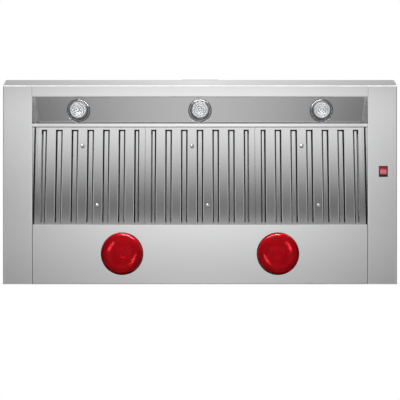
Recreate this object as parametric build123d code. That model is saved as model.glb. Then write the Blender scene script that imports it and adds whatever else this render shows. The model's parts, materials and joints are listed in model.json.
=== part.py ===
from build123d import *
import math
import os

# Wall mount range hood, 48 in wide, as the sheet metal, filters, lamps and blower that it is made of.
# The wall is the plane y = 0 and the front faces -Y. Heights are counted up from the flat underside,
# and each piece is saved relative to the centre of the wall screw holes.

# Hood shell
hood_width = 1219.2
rim_depth = 614.0
hood_height = 457.2
top_depth = 330.0
fascia_lean = 24.0
lean_height = 71.0
fascia_height = 150.0
sheet = 1.2
bend = 1.8
side_rim_width = 90.0
front_rim_width = 34.5
rear_panel_depth = 185.3
liner_height = 150.0
front_flange_height = 36.0
tab = 15.0
joint_gap = 1.5
seat_gap = 0.3

# Wall and wiring holes in the back panel
wall_hole_radius = 4.5
wall_hole_spacing = 812.8
wall_hole_rows = 152.4
wall_hole_drop = 50.8
wire_hole_radius = 11.0
wire_hole_side = 109.6
wire_hole_drop = 60.0

# Light tray and its three recessed lights
tray_depth = 76.7
tray_slope = 17.0
tray_rise_gap = 2.0
cheek_width = 16.9
cheek_rise = 16.0
rail_width = 13.9
rail_riser = 18.8
rail_lip = 5.0
rail_clearance = 4.0
rail_top_width = 20.0
light_side = 139.6
light_ring_radius = 37.0
light_ring_height = 2.6
light_lip_width = 3.8
light_lip_edge = 0.65
light_lip_crown = 1.6
light_lip_inner = 2.2
light_cone_radius = 24.8
light_cone_depth = 9.0
light_can_radius = 33.0
light_can_depth = 52.0
light_can_flange = 3.0
light_lamp_radius = 25.4
light_lamp_rim = 3.0
light_lamp_chamfer = 1.0
light_lamp_bowl = 32.0
light_lamp_neck = 8.6
light_lamp_length = 42.0
light_wall = 1.0

# Baffle filters
filter_count = 3
filter_gap = 1.0
filter_thickness = 22.0
filter_sheet = 0.8
filter_side_lip = 18.0
filter_end_lip = 15.0
filter_underlap = 7.0
filter_overhang = 9.0
filter_wall_gap = 2.6
filter_lift = 16.0
baffle_pitch = 49.5
baffle_bend = 1.6
front_baffle_width = 30.0
front_baffle_lip = 9.6
baffle_gap = 3.75
rear_baffle_height = 9.4
rear_baffle_flare = 6.5
ledge_height = 31.0
ledge_width = 8.0
pull_radius = 6.0
pull_height = 8.0
pull_stem_radius = 2.5
pull_waist_radius = 3.5
pull_rivet_radius = 4.2
pull_crown = 3.0
pull_neck = 4.0
pull_inset = 68.0

# Grease trough behind the filters
trough_width = 18.0
trough_front = 24.0
trough_rear = 44.0

# Warming lamps in the rear panel
lamp_side = 278.6
lamp_y = -94.4
lamp_hole_radius = 66.0
lamp_radius = 63.5
lamp_length = 162.0
lamp_shoulder = 15.0
lamp_widest = 29.0
lamp_taper = 66.0
lamp_neck = 112.0
lamp_neck_radius = 22.9
lamp_base_lip = 3.0
lamp_base_step = 2.0
lamp_tip = 4.0
lamp_recess = 3.0
lamp_shift = 1.5
lamp_base_radius = 13.2
lamp_base_length = 34.0
socket_radius = 21.0
socket_mouth_gap = 1.0
socket_top_gap = 20.0
socket_base_gap = 0.4
socket_edge = 3.0
lamp_can_radius = 70.0

# Rocker switch in the right rim
switch_y = -348.8
switch_side = 42.6
bezel_width = 27.8
bezel_length = 34.3
bezel_height = 2.0
bezel_corner = 2.0
bezel_edge = 0.8
switch_body_width = 23.6
switch_body_length = 30.0
switch_body_depth = 20.0
spade_pitch = 9.0
rocker_width = 20.4
rocker_radius = 13.15
rocker_pivot = 3.0
rocker_proud = 3.6
rocker_dish = 2.2
rocker_top = 4.0
rocker_tilt = 8.0
rocker_side_gap = 0.25
trunnion_radius = 1.5
trunnion_gap = 0.05
spade_width = 6.3
spade_length = 8.0

# Push buttons at the middle of the fascia
plate_width = 120.0
plate_height = 46.0
plate_thickness = 3.0
plate_corner = 8.0
plate_edge = 0.8
plate_centre = 110.0
button_count = 4
button_pitch = 26.0
button_radius = 8.0
button_length = 11.0
button_proud = 0.4
button_gap = 0.05
button_travel = 2.5
button_edge = 0.6
button_stop_gap = 1.0
stem_radius = 3.0
stem_length = 10.0
block_width = 103.0
block_height = 31.0
block_depth = 27.0

# Blower
duct_y = -165.0
wheel_radius = 95.0
wheel_width = 130.0
blade_count = 32
blade_depth = 15.0
blade_sheet = 0.8
blade_curve = 13.0
blade_inset = (7.3, 14.6)
blade_angles = (-125.0, -92.0, -60.0)
wheel_ring = 1.5
hub_radius = 14.0
hub_length = 24.0
hub_motor_gap = 2.0
shaft_tail = 6.0
shaft_radius = 5.0
shaft_gap = 0.05
shaft_length = 108.0
scroll_drop = 131.0
scroll_side_gap = 10.0
scroll_sheet = 1.0
tongue_gap = 12.0
tongue_angle = 65.0
scroll_growth = 58.0
scroll_flange = 14.0
inlet_radius = 76.0
inlet_lip = 8.0
motor_radius = 42.0
motor_length = 84.0
motor_start = 12.0
motor_band = 16.0
motor_arm_width = 16.0
motor_arm_sheet = 2.0
motor_arm_overlap = 22.0
motor_arm_angles = (90.0, 210.0, 330.0)
motor_edge = 6.0

# Duct collar and its two damper flaps
collar_radius = 127.0
collar_sheet = 1.0
collar_height = 55.0
collar_flange = 18.0
pin_height = 20.0
pin_radius = 2.5
pin_gap = 0.06
knuckle_radius = 4.3
knuckle_length = 24.0
knuckle_step = 60.0
flap_sheet = 0.8
flap_drop = 3.0
flap_gap = 1.7
flap_inner_edge = 5.2
bead_width = 5.5
bead_sheet = 1.2

# Electrics and screws
box_size = (110.0, 50.0, 80.0)
box_wall = 1.5
transformer_size = (95.0, 42.0, 55.0)
transformer_corner = 4.0
screw_head_radius = 4.0
screw_head_height = 2.2
screw_radius = 1.9
screw_length = 8.0
screw_gap = 0.1
collar_screws = 8

# Places that follow from the sizes above
half_width = hood_width / 2
inner_half = half_width - sheet
opening_half = half_width - side_rim_width
bend_outer = bend + sheet
front_opening_y = front_rim_width - rim_depth
fascia_y = -rim_depth - fascia_lean
roof = hood_height - sheet
wall_hole_height = hood_height - wall_hole_drop - wall_hole_rows / 2
wire_hole_height = hood_height - wire_hole_drop
tray_front_y = front_opening_y - sheet
tray_front_z = front_flange_height + tray_rise_gap
tray_rear_y = tray_front_y + tray_depth
rail_rear_y = tray_rear_y + rail_width
rail_opening = rail_lip + filter_thickness + filter_lift + rail_clearance
tray_slope_rise = math.tan(math.radians(tray_slope))
tray_rear_z = tray_front_z + tray_depth * tray_slope_rise
rail_height = tray_rear_z + rail_riser
switch_x = half_width - switch_side
wire_hole_x = half_width - wire_hole_side
light_spacing = opening_half - light_side
lamp_spacing = opening_half - lamp_side

filter_front_z = rail_height + rail_lip + seat_gap
filter_rear_z = ledge_height + seat_gap
filter_slope = math.atan2(filter_front_z - filter_rear_z, -rear_panel_depth - rail_rear_y)
filter_y_front = rail_rear_y - filter_underlap
filter_y_rear = -rear_panel_depth + filter_overhang
filter_length = (filter_y_rear - filter_y_front) / math.cos(filter_slope)
bank_half = opening_half - filter_wall_gap
filter_width = (2 * bank_half - (filter_count - 1) * filter_gap) / filter_count
filter_step = filter_width + filter_gap

scroll_height = roof - scroll_drop
scroll_width = wheel_width + 2 * scroll_side_gap
scroll_half = scroll_width / 2 + scroll_sheet
tongue_radius = wheel_radius + tongue_gap
scroll_end_radius = tongue_radius + scroll_growth
tongue_offset = tongue_radius * math.cos(math.radians(tongue_angle))
blower_y = duct_y - (tongue_offset + scroll_end_radius) / 2
pin_z = hood_height + pin_height
outlet_half_x = scroll_width / 2
outlet_half_y = (scroll_end_radius - tongue_offset) / 2 - scroll_sheet

os.makedirs("parts", exist_ok=True)


def save(name, shape):
    """Write one piece, with the centre of the wall screw holes as its origin."""
    export_step(Pos(0, 0, -wall_hole_height) * shape, f"parts/{name}.step")


def save_group(name, solids):
    """Write several separate solids as one node."""
    moved = [(Pos(0, 0, -wall_hole_height) * solid).solid() for solid in solids]
    export_step(Compound(moved), f"parts/{name}.step")


def bent_section(points, side, thickness=sheet, inside=bend):
    """Cross-section of a bent sheet whose visible face runs along points, metal to the left for side 1."""
    count = len(points)
    runs = [Vector(*points[i + 1]) - Vector(*points[i]) for i in range(count - 1)]
    runs = [run.normalized() for run in runs]
    normals = [Vector(-run.Y, run.X) * side for run in runs]
    outer_radii = []
    inner_radii = []
    back = [Vector(*points[0]) + normals[0] * thickness]
    for i in range(1, count - 1):
        turn = runs[i - 1].X * runs[i].Y - runs[i - 1].Y * runs[i].X
        inwards = turn * side > 0
        outer_radii.append(inside + thickness if inwards else inside)
        inner_radii.append(inside if inwards else inside + thickness)
        mitre = (normals[i - 1] + normals[i]) * (thickness / (1 + normals[i - 1].dot(normals[i])))
        back.append(Vector(*points[i]) + mitre)
    back.append(Vector(*points[-1]) + normals[-1] * thickness)
    face_line = FilletPolyline(*points, radius=outer_radii)
    back_line = FilletPolyline(*back, radius=inner_radii)
    start = Line(points[0], back[0])
    end = Line(points[-1], back[-1])
    return make_face(Curve() + [face_line, back_line, start, end])


def sheet_along_x(points, side, half_length):
    """Bent sheet whose section lies in the YZ plane and that runs the same way to both sides."""
    return extrude(Plane.YZ * bent_section(points, side), amount=half_length, both=True)


def sheet_along_y(points, side, start_y, end_y):
    """Bent sheet whose section lies in the XZ plane, from start_y forward to end_y."""
    section = Plane.XZ.offset(-start_y) * bent_section(points, side)
    return extrude(section, amount=start_y - end_y)


def block(x_range, y_range, z_range):
    """Box given by its lowest and highest corner along each axis."""
    size = [high - low for low, high in (x_range, y_range, z_range)]
    middle = [(high + low) / 2 for low, high in (x_range, y_range, z_range)]
    return Pos(*middle) * Box(*size)


def rod(radius, length, plane):
    """Cylinder that starts on a plane and runs along its normal."""
    return extrude(plane * Circle(radius), amount=length)


def along_x(x, y, z):
    """Plane at a point, facing +X, for shafts and pins."""
    return Plane(origin=(x, y, z), x_dir=(0, 1, 0), z_dir=(1, 0, 0))


def screw(x, y, z):
    """Pan head sheet metal screw driven down at a point."""
    head = Pos(x, y, z) * Cylinder(
        screw_head_radius, screw_head_height, align=(Align.CENTER, Align.CENTER, Align.MIN)
    )
    head = fillet(head.edges().group_by(Axis.Z)[-1], screw_head_height * 0.45)
    return head + rod(screw_radius, screw_length, Plane.XY.offset(z - screw_length) * Pos(x, y))


def screw_hole(x, y, z):
    """Clearance hole for one of the screws."""
    return Pos(x, y, z) * Cylinder(screw_radius + screw_gap, 4 * screw_length)


# Screw places on the top panel
collar_screw_radius = collar_radius + collar_flange / 2
collar_screw_places = []
for index in range(collar_screws):
    turn = math.radians(360 / collar_screws * (index + 0.5))
    collar_screw_places.append(
        (collar_screw_radius * math.cos(turn), duct_y + collar_screw_radius * math.sin(turn))
    )
blower_screw_places = []
for x_side in (-1, 1):
    for y_side in (-1, 1):
        blower_screw_places.append(
            (
                x_side * (scroll_half + scroll_flange / 2),
                duct_y + y_side * (outlet_half_y + scroll_sheet + scroll_flange / 2),
            )
        )


# Canopy and rims
def front_panel():
    """Slope, fascia, front rim and inner flange, bent from one sheet and notched at the side rims."""
    slope = (fascia_y + top_depth) / (hood_height - fascia_height)
    corner_y = -top_depth + slope * sheet
    points = [
        (corner_y + tab, roof),
        (corner_y, roof),
        (fascia_y, fascia_height),
        (fascia_y, lean_height),
        (-rim_depth, 0),
        (front_opening_y, 0),
        (front_opening_y, front_flange_height),
    ]
    panel = sheet_along_x(points, 1, inner_half)
    notch_y = (-rim_depth + bend_outer, front_opening_y + tab)
    notch_z = (-tab, front_flange_height + tab)
    for notch_x in ((-half_width, -opening_half), (opening_half, half_width)):
        panel -= block(notch_x, notch_y, notch_z)
    cut_x = block_width / 2 + seat_gap
    cut_z = block_height / 2 + seat_gap
    panel -= block(
        (-cut_x, cut_x), (fascia_y - tab, fascia_y + tab), (plate_centre - cut_z, plate_centre + cut_z)
    )
    return panel


def side_panel():
    """Flat right side with the outline of the canopy."""
    outline = Polyline(
        (0, 0),
        (-rim_depth, 0),
        (fascia_y, lean_height),
        (fascia_y, fascia_height),
        (-top_depth, hood_height),
        (0, hood_height),
        close=True,
    )
    return extrude(Plane.YZ.offset(inner_half) * make_face(outline), amount=sheet)


def side_rim():
    """Right rim with its inner liner and a hidden tab against the side panel."""
    points = [(inner_half, tab), (inner_half, 0), (opening_half, 0), (opening_half, liner_height)]
    return sheet_along_y(points, -1, -sheet, -rim_depth + bend_outer)


def back_panel():
    """Flat back with the four wall screw holes and the wiring hole."""
    panel = block((-inner_half, inner_half), (-sheet, 0), (0, hood_height))
    for x_side in (-1, 1):
        for z_side in (-1, 1):
            place = Plane(
                origin=(
                    x_side * wall_hole_spacing / 2,
                    -tab,
                    wall_hole_height + z_side * wall_hole_rows / 2,
                ),
                x_dir=(1, 0, 0),
                z_dir=(0, 1, 0),
            )
            panel -= rod(wall_hole_radius, 2 * tab, place)
    wire = Plane(origin=(wire_hole_x, -tab, wire_hole_height), x_dir=(1, 0, 0), z_dir=(0, 1, 0))
    return panel - rod(wire_hole_radius, 2 * tab, wire)


def top_panel():
    """Flat top with the blower opening under the collar."""
    panel = block((-inner_half, inner_half), (-top_depth, -sheet), (roof, hood_height))
    panel -= block(
        (-outlet_half_x, outlet_half_x),
        (duct_y - outlet_half_y, duct_y + outlet_half_y),
        (roof - tab, hood_height + tab),
    )
    for x, y in collar_screw_places + blower_screw_places:
        panel -= screw_hole(x, y, roof)
    return panel


def rear_lamp_panel():
    """Flat rear panel with two lamp holes and a raised front edge that the filters rest on."""
    points = [
        (-sheet, tab),
        (-sheet, 0),
        (-rear_panel_depth, 0),
        (-rear_panel_depth, ledge_height),
        (
            -rear_panel_depth + ledge_width * math.cos(filter_slope),
            ledge_height - ledge_width * math.sin(filter_slope),
        ),
    ]
    panel = sheet_along_x(points, -1, opening_half - joint_gap)
    for x_side in (-1, 1):
        panel -= Pos(x_side * lamp_spacing, lamp_y, 0) * Cylinder(lamp_hole_radius, tab)
    return panel


def grease_trough():
    """Gutter with closed ends that lies behind the filter ledge."""
    front_y = -rear_panel_depth + sheet
    rear_y = front_y + trough_width
    points = [
        (front_y, sheet + trough_front),
        (front_y, sheet),
        (rear_y, sheet),
        (rear_y, sheet + trough_rear),
    ]
    half = opening_half - joint_gap
    trough = sheet_along_x(points, 1, half)
    for x_range in ((-half, -half + sheet), (half - sheet, half)):
        trough += block(x_range, (front_y + bend, rear_y - bend), (sheet + bend, sheet + trough_front))
        trough += block(x_range, (front_y + bend_outer, rear_y - bend_outer), (sheet, sheet + trough_front))
    return trough


# Light tray and filter rail
def light_place(x):
    """Plane on the tray's lower face at a light, facing down into the room."""
    slope = math.radians(tray_slope)
    y = (tray_front_y + tray_rear_y) / 2 + bend
    z = tray_front_z + (y - tray_front_y) * tray_slope_rise
    return Plane(origin=(x, y, z), x_dir=(1, 0, 0), z_dir=(0, math.sin(slope), -math.cos(slope)))


def light_tray():
    """Sloped tray with three light holes, a riser to the rail and folded corners at both ends."""
    points = [
        (tray_front_y, tray_front_z / 2),
        (tray_front_y, tray_front_z),
        (tray_rear_y, tray_rear_z),
        (tray_rear_y, rail_height + tab),
    ]
    tray = sheet_along_x(points, 1, opening_half)
    front = Vector(opening_half, tray_front_y, tray_front_z)
    fold = Vector(opening_half - cheek_width, tray_rear_y, tray_rear_z)
    top = Vector(opening_half, tray_rear_y, tray_rear_z + cheek_rise)
    cheek_face = make_face(Polyline(front, fold, top, close=True))
    outwards = (fold - front).cross(top - front).normalized()
    if outwards.Z > 0:
        outwards = outwards * -1
    cheek = extrude(cheek_face, amount=sheet, dir=outwards * -1)
    beyond = Plane(origin=front, x_dir=(fold - front).normalized(), z_dir=outwards)
    reach = 4 * side_rim_width
    waste = extrude(beyond * Rectangle(reach, reach), amount=reach)
    lip = block((-half_width, half_width), (tray_front_y - tab, tray_front_y), (0, tray_front_z))
    waste -= lip
    tray = tray - waste + cheek
    tray = tray - mirror(waste, about=Plane.YZ) + mirror(cheek, about=Plane.YZ)
    for x_side in (-1, 0, 1):
        hole = extrude(
            light_place(x_side * light_spacing) * Circle(light_can_radius - light_wall), amount=tab, both=True
        )
        tray -= hole
    return tray


def filter_front_rail():
    """Channel whose rear lip carries the front edges of the filters."""
    points = [
        (rail_rear_y, rail_height + rail_lip),
        (rail_rear_y, rail_height),
        (tray_rear_y, rail_height),
        (tray_rear_y, rail_height + rail_opening + 2 * sheet),
        (tray_rear_y + rail_top_width, rail_height + rail_opening + 2 * sheet),
    ]
    return sheet_along_x(points, -1, opening_half)


# Recessed lights
def light_ring():
    """Bright lip and the cone that steps in to the lamp, in the light's own frame."""
    outer = light_ring_radius
    inner = light_ring_radius - light_lip_width
    back = inner - light_wall - light_lip_edge
    seat = light_cone_radius + light_wall
    profile = [
        Line((outer, 0), (outer, light_lip_edge)),
        ThreePointArc(
            (outer, light_lip_edge), (outer - light_lip_crown, light_ring_height), (inner, light_lip_inner)
        ),
        Line((inner, light_lip_inner), (light_cone_radius, -light_cone_depth)),
        Line((light_cone_radius, -light_cone_depth), (seat, -light_cone_depth)),
        Line((seat, -light_cone_depth), (back, 0)),
        Line((back, 0), (outer, 0)),
    ]
    return revolve(Plane.XZ * make_face(Curve() + profile), axis=Axis.Z)


def light_can():
    """Closed can behind the tray, with the flange that it hangs by."""
    outer = rod(light_can_radius, light_can_depth, Plane.XY.offset(-sheet - light_can_depth))
    inner = rod(
        light_can_radius - light_wall,
        light_can_depth,
        Plane.XY.offset(-sheet - light_can_depth + light_wall),
    )
    flange = rod(light_can_radius + light_can_flange, light_wall, Plane.XY.offset(-sheet - light_wall))
    return outer + flange - inner


def light_lamp():
    """Small halogen reflector lamp that seats on the end of the ring's cone."""
    top = -light_cone_depth
    rim = light_lamp_radius
    neck = light_lamp_neck
    bowl_middle = ((rim + neck) / 2 + light_lamp_rim, top - light_lamp_bowl * 0.6)
    profile = [
        Line((0, top), (rim - light_lamp_chamfer, top)),
        Line((rim - light_lamp_chamfer, top), (rim, top - light_lamp_chamfer)),
        Line((rim, top - light_lamp_chamfer), (rim, top - light_lamp_rim)),
        ThreePointArc((rim, top - light_lamp_rim), bowl_middle, (neck, top - light_lamp_bowl)),
        Line((neck, top - light_lamp_bowl), (neck, top - light_lamp_length)),
        Line((neck, top - light_lamp_length), (0, top - light_lamp_length)),
        Line((0, top - light_lamp_length), (0, top)),
    ]
    return revolve(Plane.XZ * make_face(Curve() + profile), axis=Axis.Z)


# Baffle filters
def filter_place(x):
    """Plane at the middle of a filter's lower face, its Y running down to the rear ledge."""
    y = (filter_y_front + filter_y_rear) / 2
    z = filter_rear_z + (-rear_panel_depth - y) * math.tan(filter_slope)
    return Plane(
        origin=(x, y, z), x_dir=(1, 0, 0), z_dir=(0, math.sin(filter_slope), math.cos(filter_slope))
    )


def filter_frame():
    """Four-sided channel, open to the inside, that holds the baffles."""
    low = (Align.CENTER, Align.CENTER, Align.MIN)
    outer = Box(filter_width, filter_length, filter_thickness, align=low)
    hollow = Box(
        filter_width - 2 * filter_sheet,
        filter_length - 2 * filter_sheet,
        filter_thickness - 2 * filter_sheet,
        align=low,
    )
    window = Box(
        filter_width - 2 * filter_side_lip, filter_length - 2 * filter_end_lip, 4 * filter_thickness
    )
    return outer - Pos(0, 0, filter_sheet) * hollow - window


def pull_places():
    """The two pull studs, on the baffles either side of the middle, near opposite ends."""
    reach = filter_length / 2 - pull_inset
    return [(-baffle_pitch / 2, -reach), (baffle_pitch / 2, reach)]


def baffle(points):
    """Channel bent from one strip, as long as the inside of the frame."""
    length = filter_length - 2 * filter_sheet - filter_gap
    section = bent_section(points, 1, filter_sheet, baffle_bend)
    return extrude(Plane.XZ * section, amount=length / 2, both=True)


def front_baffle_places():
    """Middles of the front baffles that fit between the side lips with a slot at each end."""
    count = int((filter_width - 2 * filter_side_lip) // baffle_pitch)
    return [(i - (count - 1) / 2) * baffle_pitch for i in range(count)]


def front_baffles():
    """Channels with their lips up, which show from below."""
    half = front_baffle_width / 2
    low = filter_sheet
    points = [(-half, low + front_baffle_lip), (-half, low), (half, low), (half, low + front_baffle_lip)]
    channel = baffle(points)
    row = [Pos(x, 0, 0) * channel for x in front_baffle_places()]
    for x, y in pull_places():
        hole = Pos(x, y, 0) * Cylinder(pull_stem_radius + screw_gap, filter_thickness)
        row = [channel - hole for channel in row]
    return row


def rear_baffles():
    """Channels that show in the slots and flare out behind the lips of the front baffles."""
    edge = filter_width / 2 - filter_side_lip
    slot_ends = [-edge]
    for x in front_baffle_places():
        slot_ends += [x - front_baffle_width / 2, x + front_baffle_width / 2]
    slot_ends.append(edge)
    high = filter_thickness - 2 * filter_sheet
    low = high - rear_baffle_height
    row = []
    for left, right in zip(slot_ends[::2], slot_ends[1::2]):
        half = (right - left) / 2 - baffle_gap
        tip = half + rear_baffle_flare
        channel = baffle([(-tip, high), (-half, low), (half, low), (tip, high)])
        row.append(Pos((left + right) / 2, 0, 0) * channel)
    return row


def pull_studs():
    """Domed studs riveted through two front baffles."""
    head = filter_sheet - pull_height
    brim = head + pull_crown
    waist = head + pull_neck
    inside = 2 * filter_sheet
    rivet_top = 4 * filter_sheet
    crown = (pull_radius * 0.78, head + pull_crown * 0.4)
    profile = [
        ThreePointArc((0, head), crown, (pull_radius, brim)),
        Line((pull_radius, brim), (pull_waist_radius, waist)),
        Line((pull_waist_radius, waist), (pull_waist_radius, filter_sheet)),
        Line((pull_waist_radius, filter_sheet), (pull_stem_radius, filter_sheet)),
        Line((pull_stem_radius, filter_sheet), (pull_stem_radius, inside)),
        Line((pull_stem_radius, inside), (pull_rivet_radius, inside)),
        Line((pull_rivet_radius, inside), (pull_rivet_radius, rivet_top)),
        Line((pull_rivet_radius, rivet_top), (0, rivet_top)),
        Line((0, rivet_top), (0, head)),
    ]
    stud = revolve(Plane.XZ * make_face(Curve() + profile), axis=Axis.Z)
    return [Pos(x, y, 0) * stud for x, y in pull_places()]


# Warming lamps
def lamp_bulb():
    """Reflector lamp with a domed face, a tapered neck and a screw base, face down."""
    low = lamp_recess
    base_z = low + lamp_length - lamp_base_length
    tip_z = low + lamp_length
    r = lamp_radius
    shoulder = (r * 0.88, low + lamp_shoulder)
    widest = (r, low + lamp_widest)
    neck = (lamp_neck_radius, low + lamp_neck)
    lip_radius = lamp_base_radius + lamp_base_lip
    step_z = base_z + lamp_base_step
    profile = [
        ThreePointArc((0, low), (r * 0.5, low + lamp_shoulder * 0.3), shoulder),
        ThreePointArc(shoulder, (r * 0.975, low + lamp_shoulder * 1.4), widest),
        ThreePointArc(widest, (r * 0.86, low + lamp_taper), neck),
        Line(neck, (lip_radius, base_z)),
        Line((lip_radius, base_z), (lamp_base_radius, step_z)),
        Line((lamp_base_radius, step_z), (lamp_base_radius, tip_z - lamp_tip)),
        Line((lamp_base_radius, tip_z - lamp_tip), (lamp_base_radius / 2, tip_z)),
        Line((lamp_base_radius / 2, tip_z), (0, tip_z)),
        Line((0, tip_z), (0, low)),
    ]
    return revolve(Plane.XZ * make_face(Curve() + profile), axis=Axis.Z)


lamp_can_top = lamp_recess + lamp_length + socket_top_gap


def lamp_socket():
    """Ceramic screw socket that hangs from the can's top and takes the lamp's base."""
    mouth = lamp_recess + lamp_length - lamp_base_length + lamp_base_step + socket_mouth_gap
    socket_length = lamp_can_top - light_wall - mouth
    body = rod(socket_radius, socket_length, Plane.XY.offset(mouth))
    body = fillet(body.edges().group_by(Axis.Z)[0], socket_edge)
    bore_top = lamp_recess + lamp_length + socket_mouth_gap
    bore = rod(
        lamp_base_radius + socket_base_gap, socket_length, Plane.XY.offset(bore_top - socket_length)
    )
    return body - bore


def lamp_can():
    """Round steel can that keeps the lamp apart from the air path."""
    outer = rod(lamp_can_radius, lamp_can_top - sheet, Plane.XY.offset(sheet))
    inner = rod(lamp_can_radius - light_wall, lamp_can_top - sheet - light_wall, Plane.XY.offset(sheet))
    wire = rod(lamp_base_radius / 2, lamp_can_top, Plane.XY.offset(lamp_can_top - tab))
    return outer - inner - wire


# Rocker switch
def switch_bezel():
    """Flanged snap-in body with the rocker's well, trunnion bores and terminals."""
    flange = Pos(0, 0, -bezel_height / 2) * Box(bezel_width, bezel_length, bezel_height)
    flange = fillet(flange.edges().filter_by(Axis.Z), bezel_corner)
    flange = fillet(flange.edges().group_by(Axis.Z)[0], bezel_edge)
    body = Pos(0, 0, switch_body_depth / 2) * Box(switch_body_width, switch_body_length, switch_body_depth)
    well_width = rocker_width + 2 * rocker_side_gap
    well_length = 2 * (rocker_radius + 2 * rocker_side_gap)
    well_depth = rocker_pivot + rocker_radius
    well = block(
        (-well_width / 2, well_width / 2), (-well_length / 2, well_length / 2), (-tab, well_depth)
    )
    bores = rod(
        trunnion_radius + trunnion_gap, 2 * switch_body_width, along_x(-switch_body_width, 0, rocker_pivot)
    )
    switch = flange + body - well - bores
    for y in (-spade_pitch, 0.0, spade_pitch):
        top = switch_body_depth
        switch += block(
            (-spade_width / 2, spade_width / 2),
            (y - filter_sheet / 2, y + filter_sheet / 2),
            (top, top + spade_length),
        )
    return switch


def rocker():
    """Dished rocker with round ends about its trunnions, tipped to its off side."""
    low_y = math.sqrt(rocker_radius**2 - (rocker_proud + rocker_pivot) ** 2)
    high_y = math.sqrt(rocker_radius**2 - rocker_top**2)
    low_z = -rocker_proud
    high_z = rocker_pivot + rocker_top
    profile = [
        ThreePointArc((-high_y, high_z), (-rocker_radius, rocker_pivot), (-low_y, low_z)),
        ThreePointArc((-low_y, low_z), (0, low_z + rocker_dish), (low_y, low_z)),
        ThreePointArc((low_y, low_z), (rocker_radius, rocker_pivot), (high_y, high_z)),
        Line((high_y, high_z), (-high_y, high_z)),
    ]
    half = rocker_width / 2
    paddle = extrude(Plane.YZ * make_face(Curve() + profile), amount=half, both=True)
    reach = switch_body_width / 2 - rocker_side_gap
    pins = rod(trunnion_radius, 2 * reach, along_x(-reach, 0, rocker_pivot))
    tipped = Pos(0, 0, rocker_pivot) * Rot(-rocker_tilt, 0, 0) * Pos(0, 0, -rocker_pivot)
    return tipped * (paddle + pins)


# Push buttons
def button_x(index):
    """Place of a button along the plate."""
    return (index - (button_count - 1) / 2) * button_pitch


def facing_front(x, y, z):
    """Plane at a point, facing into the hood, for what is pushed from the front."""
    return Plane(origin=(x, y, z), x_dir=(1, 0, 0), z_dir=(0, 1, 0))


plate_front_y = fascia_y - plate_thickness


def control_plate():
    """Bare plate with round corners and the four button holes."""
    outline = RectangleRounded(plate_width, plate_height, plate_corner)
    plate = extrude(facing_front(0, plate_front_y, plate_centre) * outline, amount=plate_thickness)
    plate = fillet(plate.edges().group_by(Axis.Y)[0], plate_edge)
    for i in range(button_count):
        plate -= rod(
            button_radius + 4 * button_gap,
            4 * plate_thickness,
            facing_front(button_x(i), plate_front_y - plate_thickness, plate_centre),
        )
    return plate


def push_button(index):
    """Round cap with its stem."""
    front = plate_front_y - button_proud
    cap = rod(button_radius, button_length, facing_front(button_x(index), front, plate_centre))
    cap = fillet(cap.edges().group_by(Axis.Y)[0], button_edge)
    stem_start = facing_front(button_x(index), front + button_length, plate_centre)
    return cap + rod(stem_radius, stem_length, stem_start)


def button_switch_block():
    """Block behind the plate that guides the caps and takes their stems."""
    half_x = block_width / 2
    half_z = block_height / 2
    body = block(
        (-half_x, half_x),
        (fascia_y, fascia_y + block_depth),
        (plate_centre - half_z, plate_centre + half_z),
    )
    cap_end = plate_front_y - button_proud + button_length + button_travel + button_stop_gap
    stem_end = cap_end + stem_length
    for i in range(button_count):
        start = facing_front(button_x(i), fascia_y - tab, plate_centre)
        body -= rod(button_radius + button_gap, cap_end - fascia_y + tab, start)
        body -= rod(stem_radius + seat_gap, stem_end - fascia_y + tab, start)
    return body


# Blower
def scroll_outline(inset, top):
    """Spiral from the tongue round to the outlet, closed across the outlet at the given height."""
    wall_y = tongue_offset + inset
    start = math.degrees(math.acos(wall_y / (tongue_radius - inset)))
    rate = scroll_growth / (360 - tongue_angle)

    def spiral(angle):
        radius = tongue_radius + rate * (angle - tongue_angle) - inset
        turn = math.radians(angle)
        return (blower_y + radius * math.cos(turn), scroll_height + radius * math.sin(turn))

    steps = 4
    span = (360 - start) / steps
    lines = []
    for i in range(steps):
        angle = start + i * span
        lines.append(ThreePointArc(spiral(angle), spiral(angle + span / 2), spiral(angle + span)))
    first = spiral(start)
    last = spiral(360)
    lines.append(Line(last, (last[0], top)))
    lines.append(Line((last[0], top), (first[0], top)))
    lines.append(Line((first[0], top), first))
    return make_face(Curve() + lines)


def blower_housing():
    """Scroll with two inlets, open at the top, hung from the top panel by its flange."""
    outer = extrude(Plane.YZ * scroll_outline(0, roof), amount=scroll_half, both=True)
    inner = extrude(
        Plane.YZ * scroll_outline(scroll_sheet, roof + tab), amount=scroll_half - scroll_sheet, both=True
    )
    flange_x = scroll_half + scroll_flange
    flange_y = outlet_half_y + scroll_sheet + scroll_flange
    flange = block((-flange_x, flange_x), (duct_y - flange_y, duct_y + flange_y), (roof - sheet, roof))
    housing = outer + flange - inner
    reach = 2 * scroll_half
    housing -= rod(inlet_radius, 2 * reach, along_x(-reach, blower_y, scroll_height))
    for x in (-scroll_half, scroll_half - inlet_lip):
        start = along_x(x, blower_y, scroll_height)
        housing += rod(inlet_radius, inlet_lip, start) - rod(inlet_radius - scroll_sheet, inlet_lip, start)
    for x, y in blower_screw_places:
        housing -= screw_hole(x, y, roof)
    return housing


def blade_section():
    """One forward-curved blade, seen along the shaft, on the wheel's Y axis."""
    inner = wheel_radius - blade_depth
    centre = (inner + blade_inset[0], blade_inset[1])
    arcs = []
    for radius in (blade_curve, blade_curve + blade_sheet):
        ends = []
        for angle in blade_angles:
            turn = math.radians(angle)
            ends.append((centre[0] + radius * math.cos(turn), centre[1] + radius * math.sin(turn)))
        arcs.append(ends)
    lines = [
        ThreePointArc(*arcs[0]),
        ThreePointArc(*arcs[1]),
        Line(arcs[0][0], arcs[1][0]),
        Line(arcs[0][2], arcs[1][2]),
    ]
    return make_face(Curve() + lines)


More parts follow.
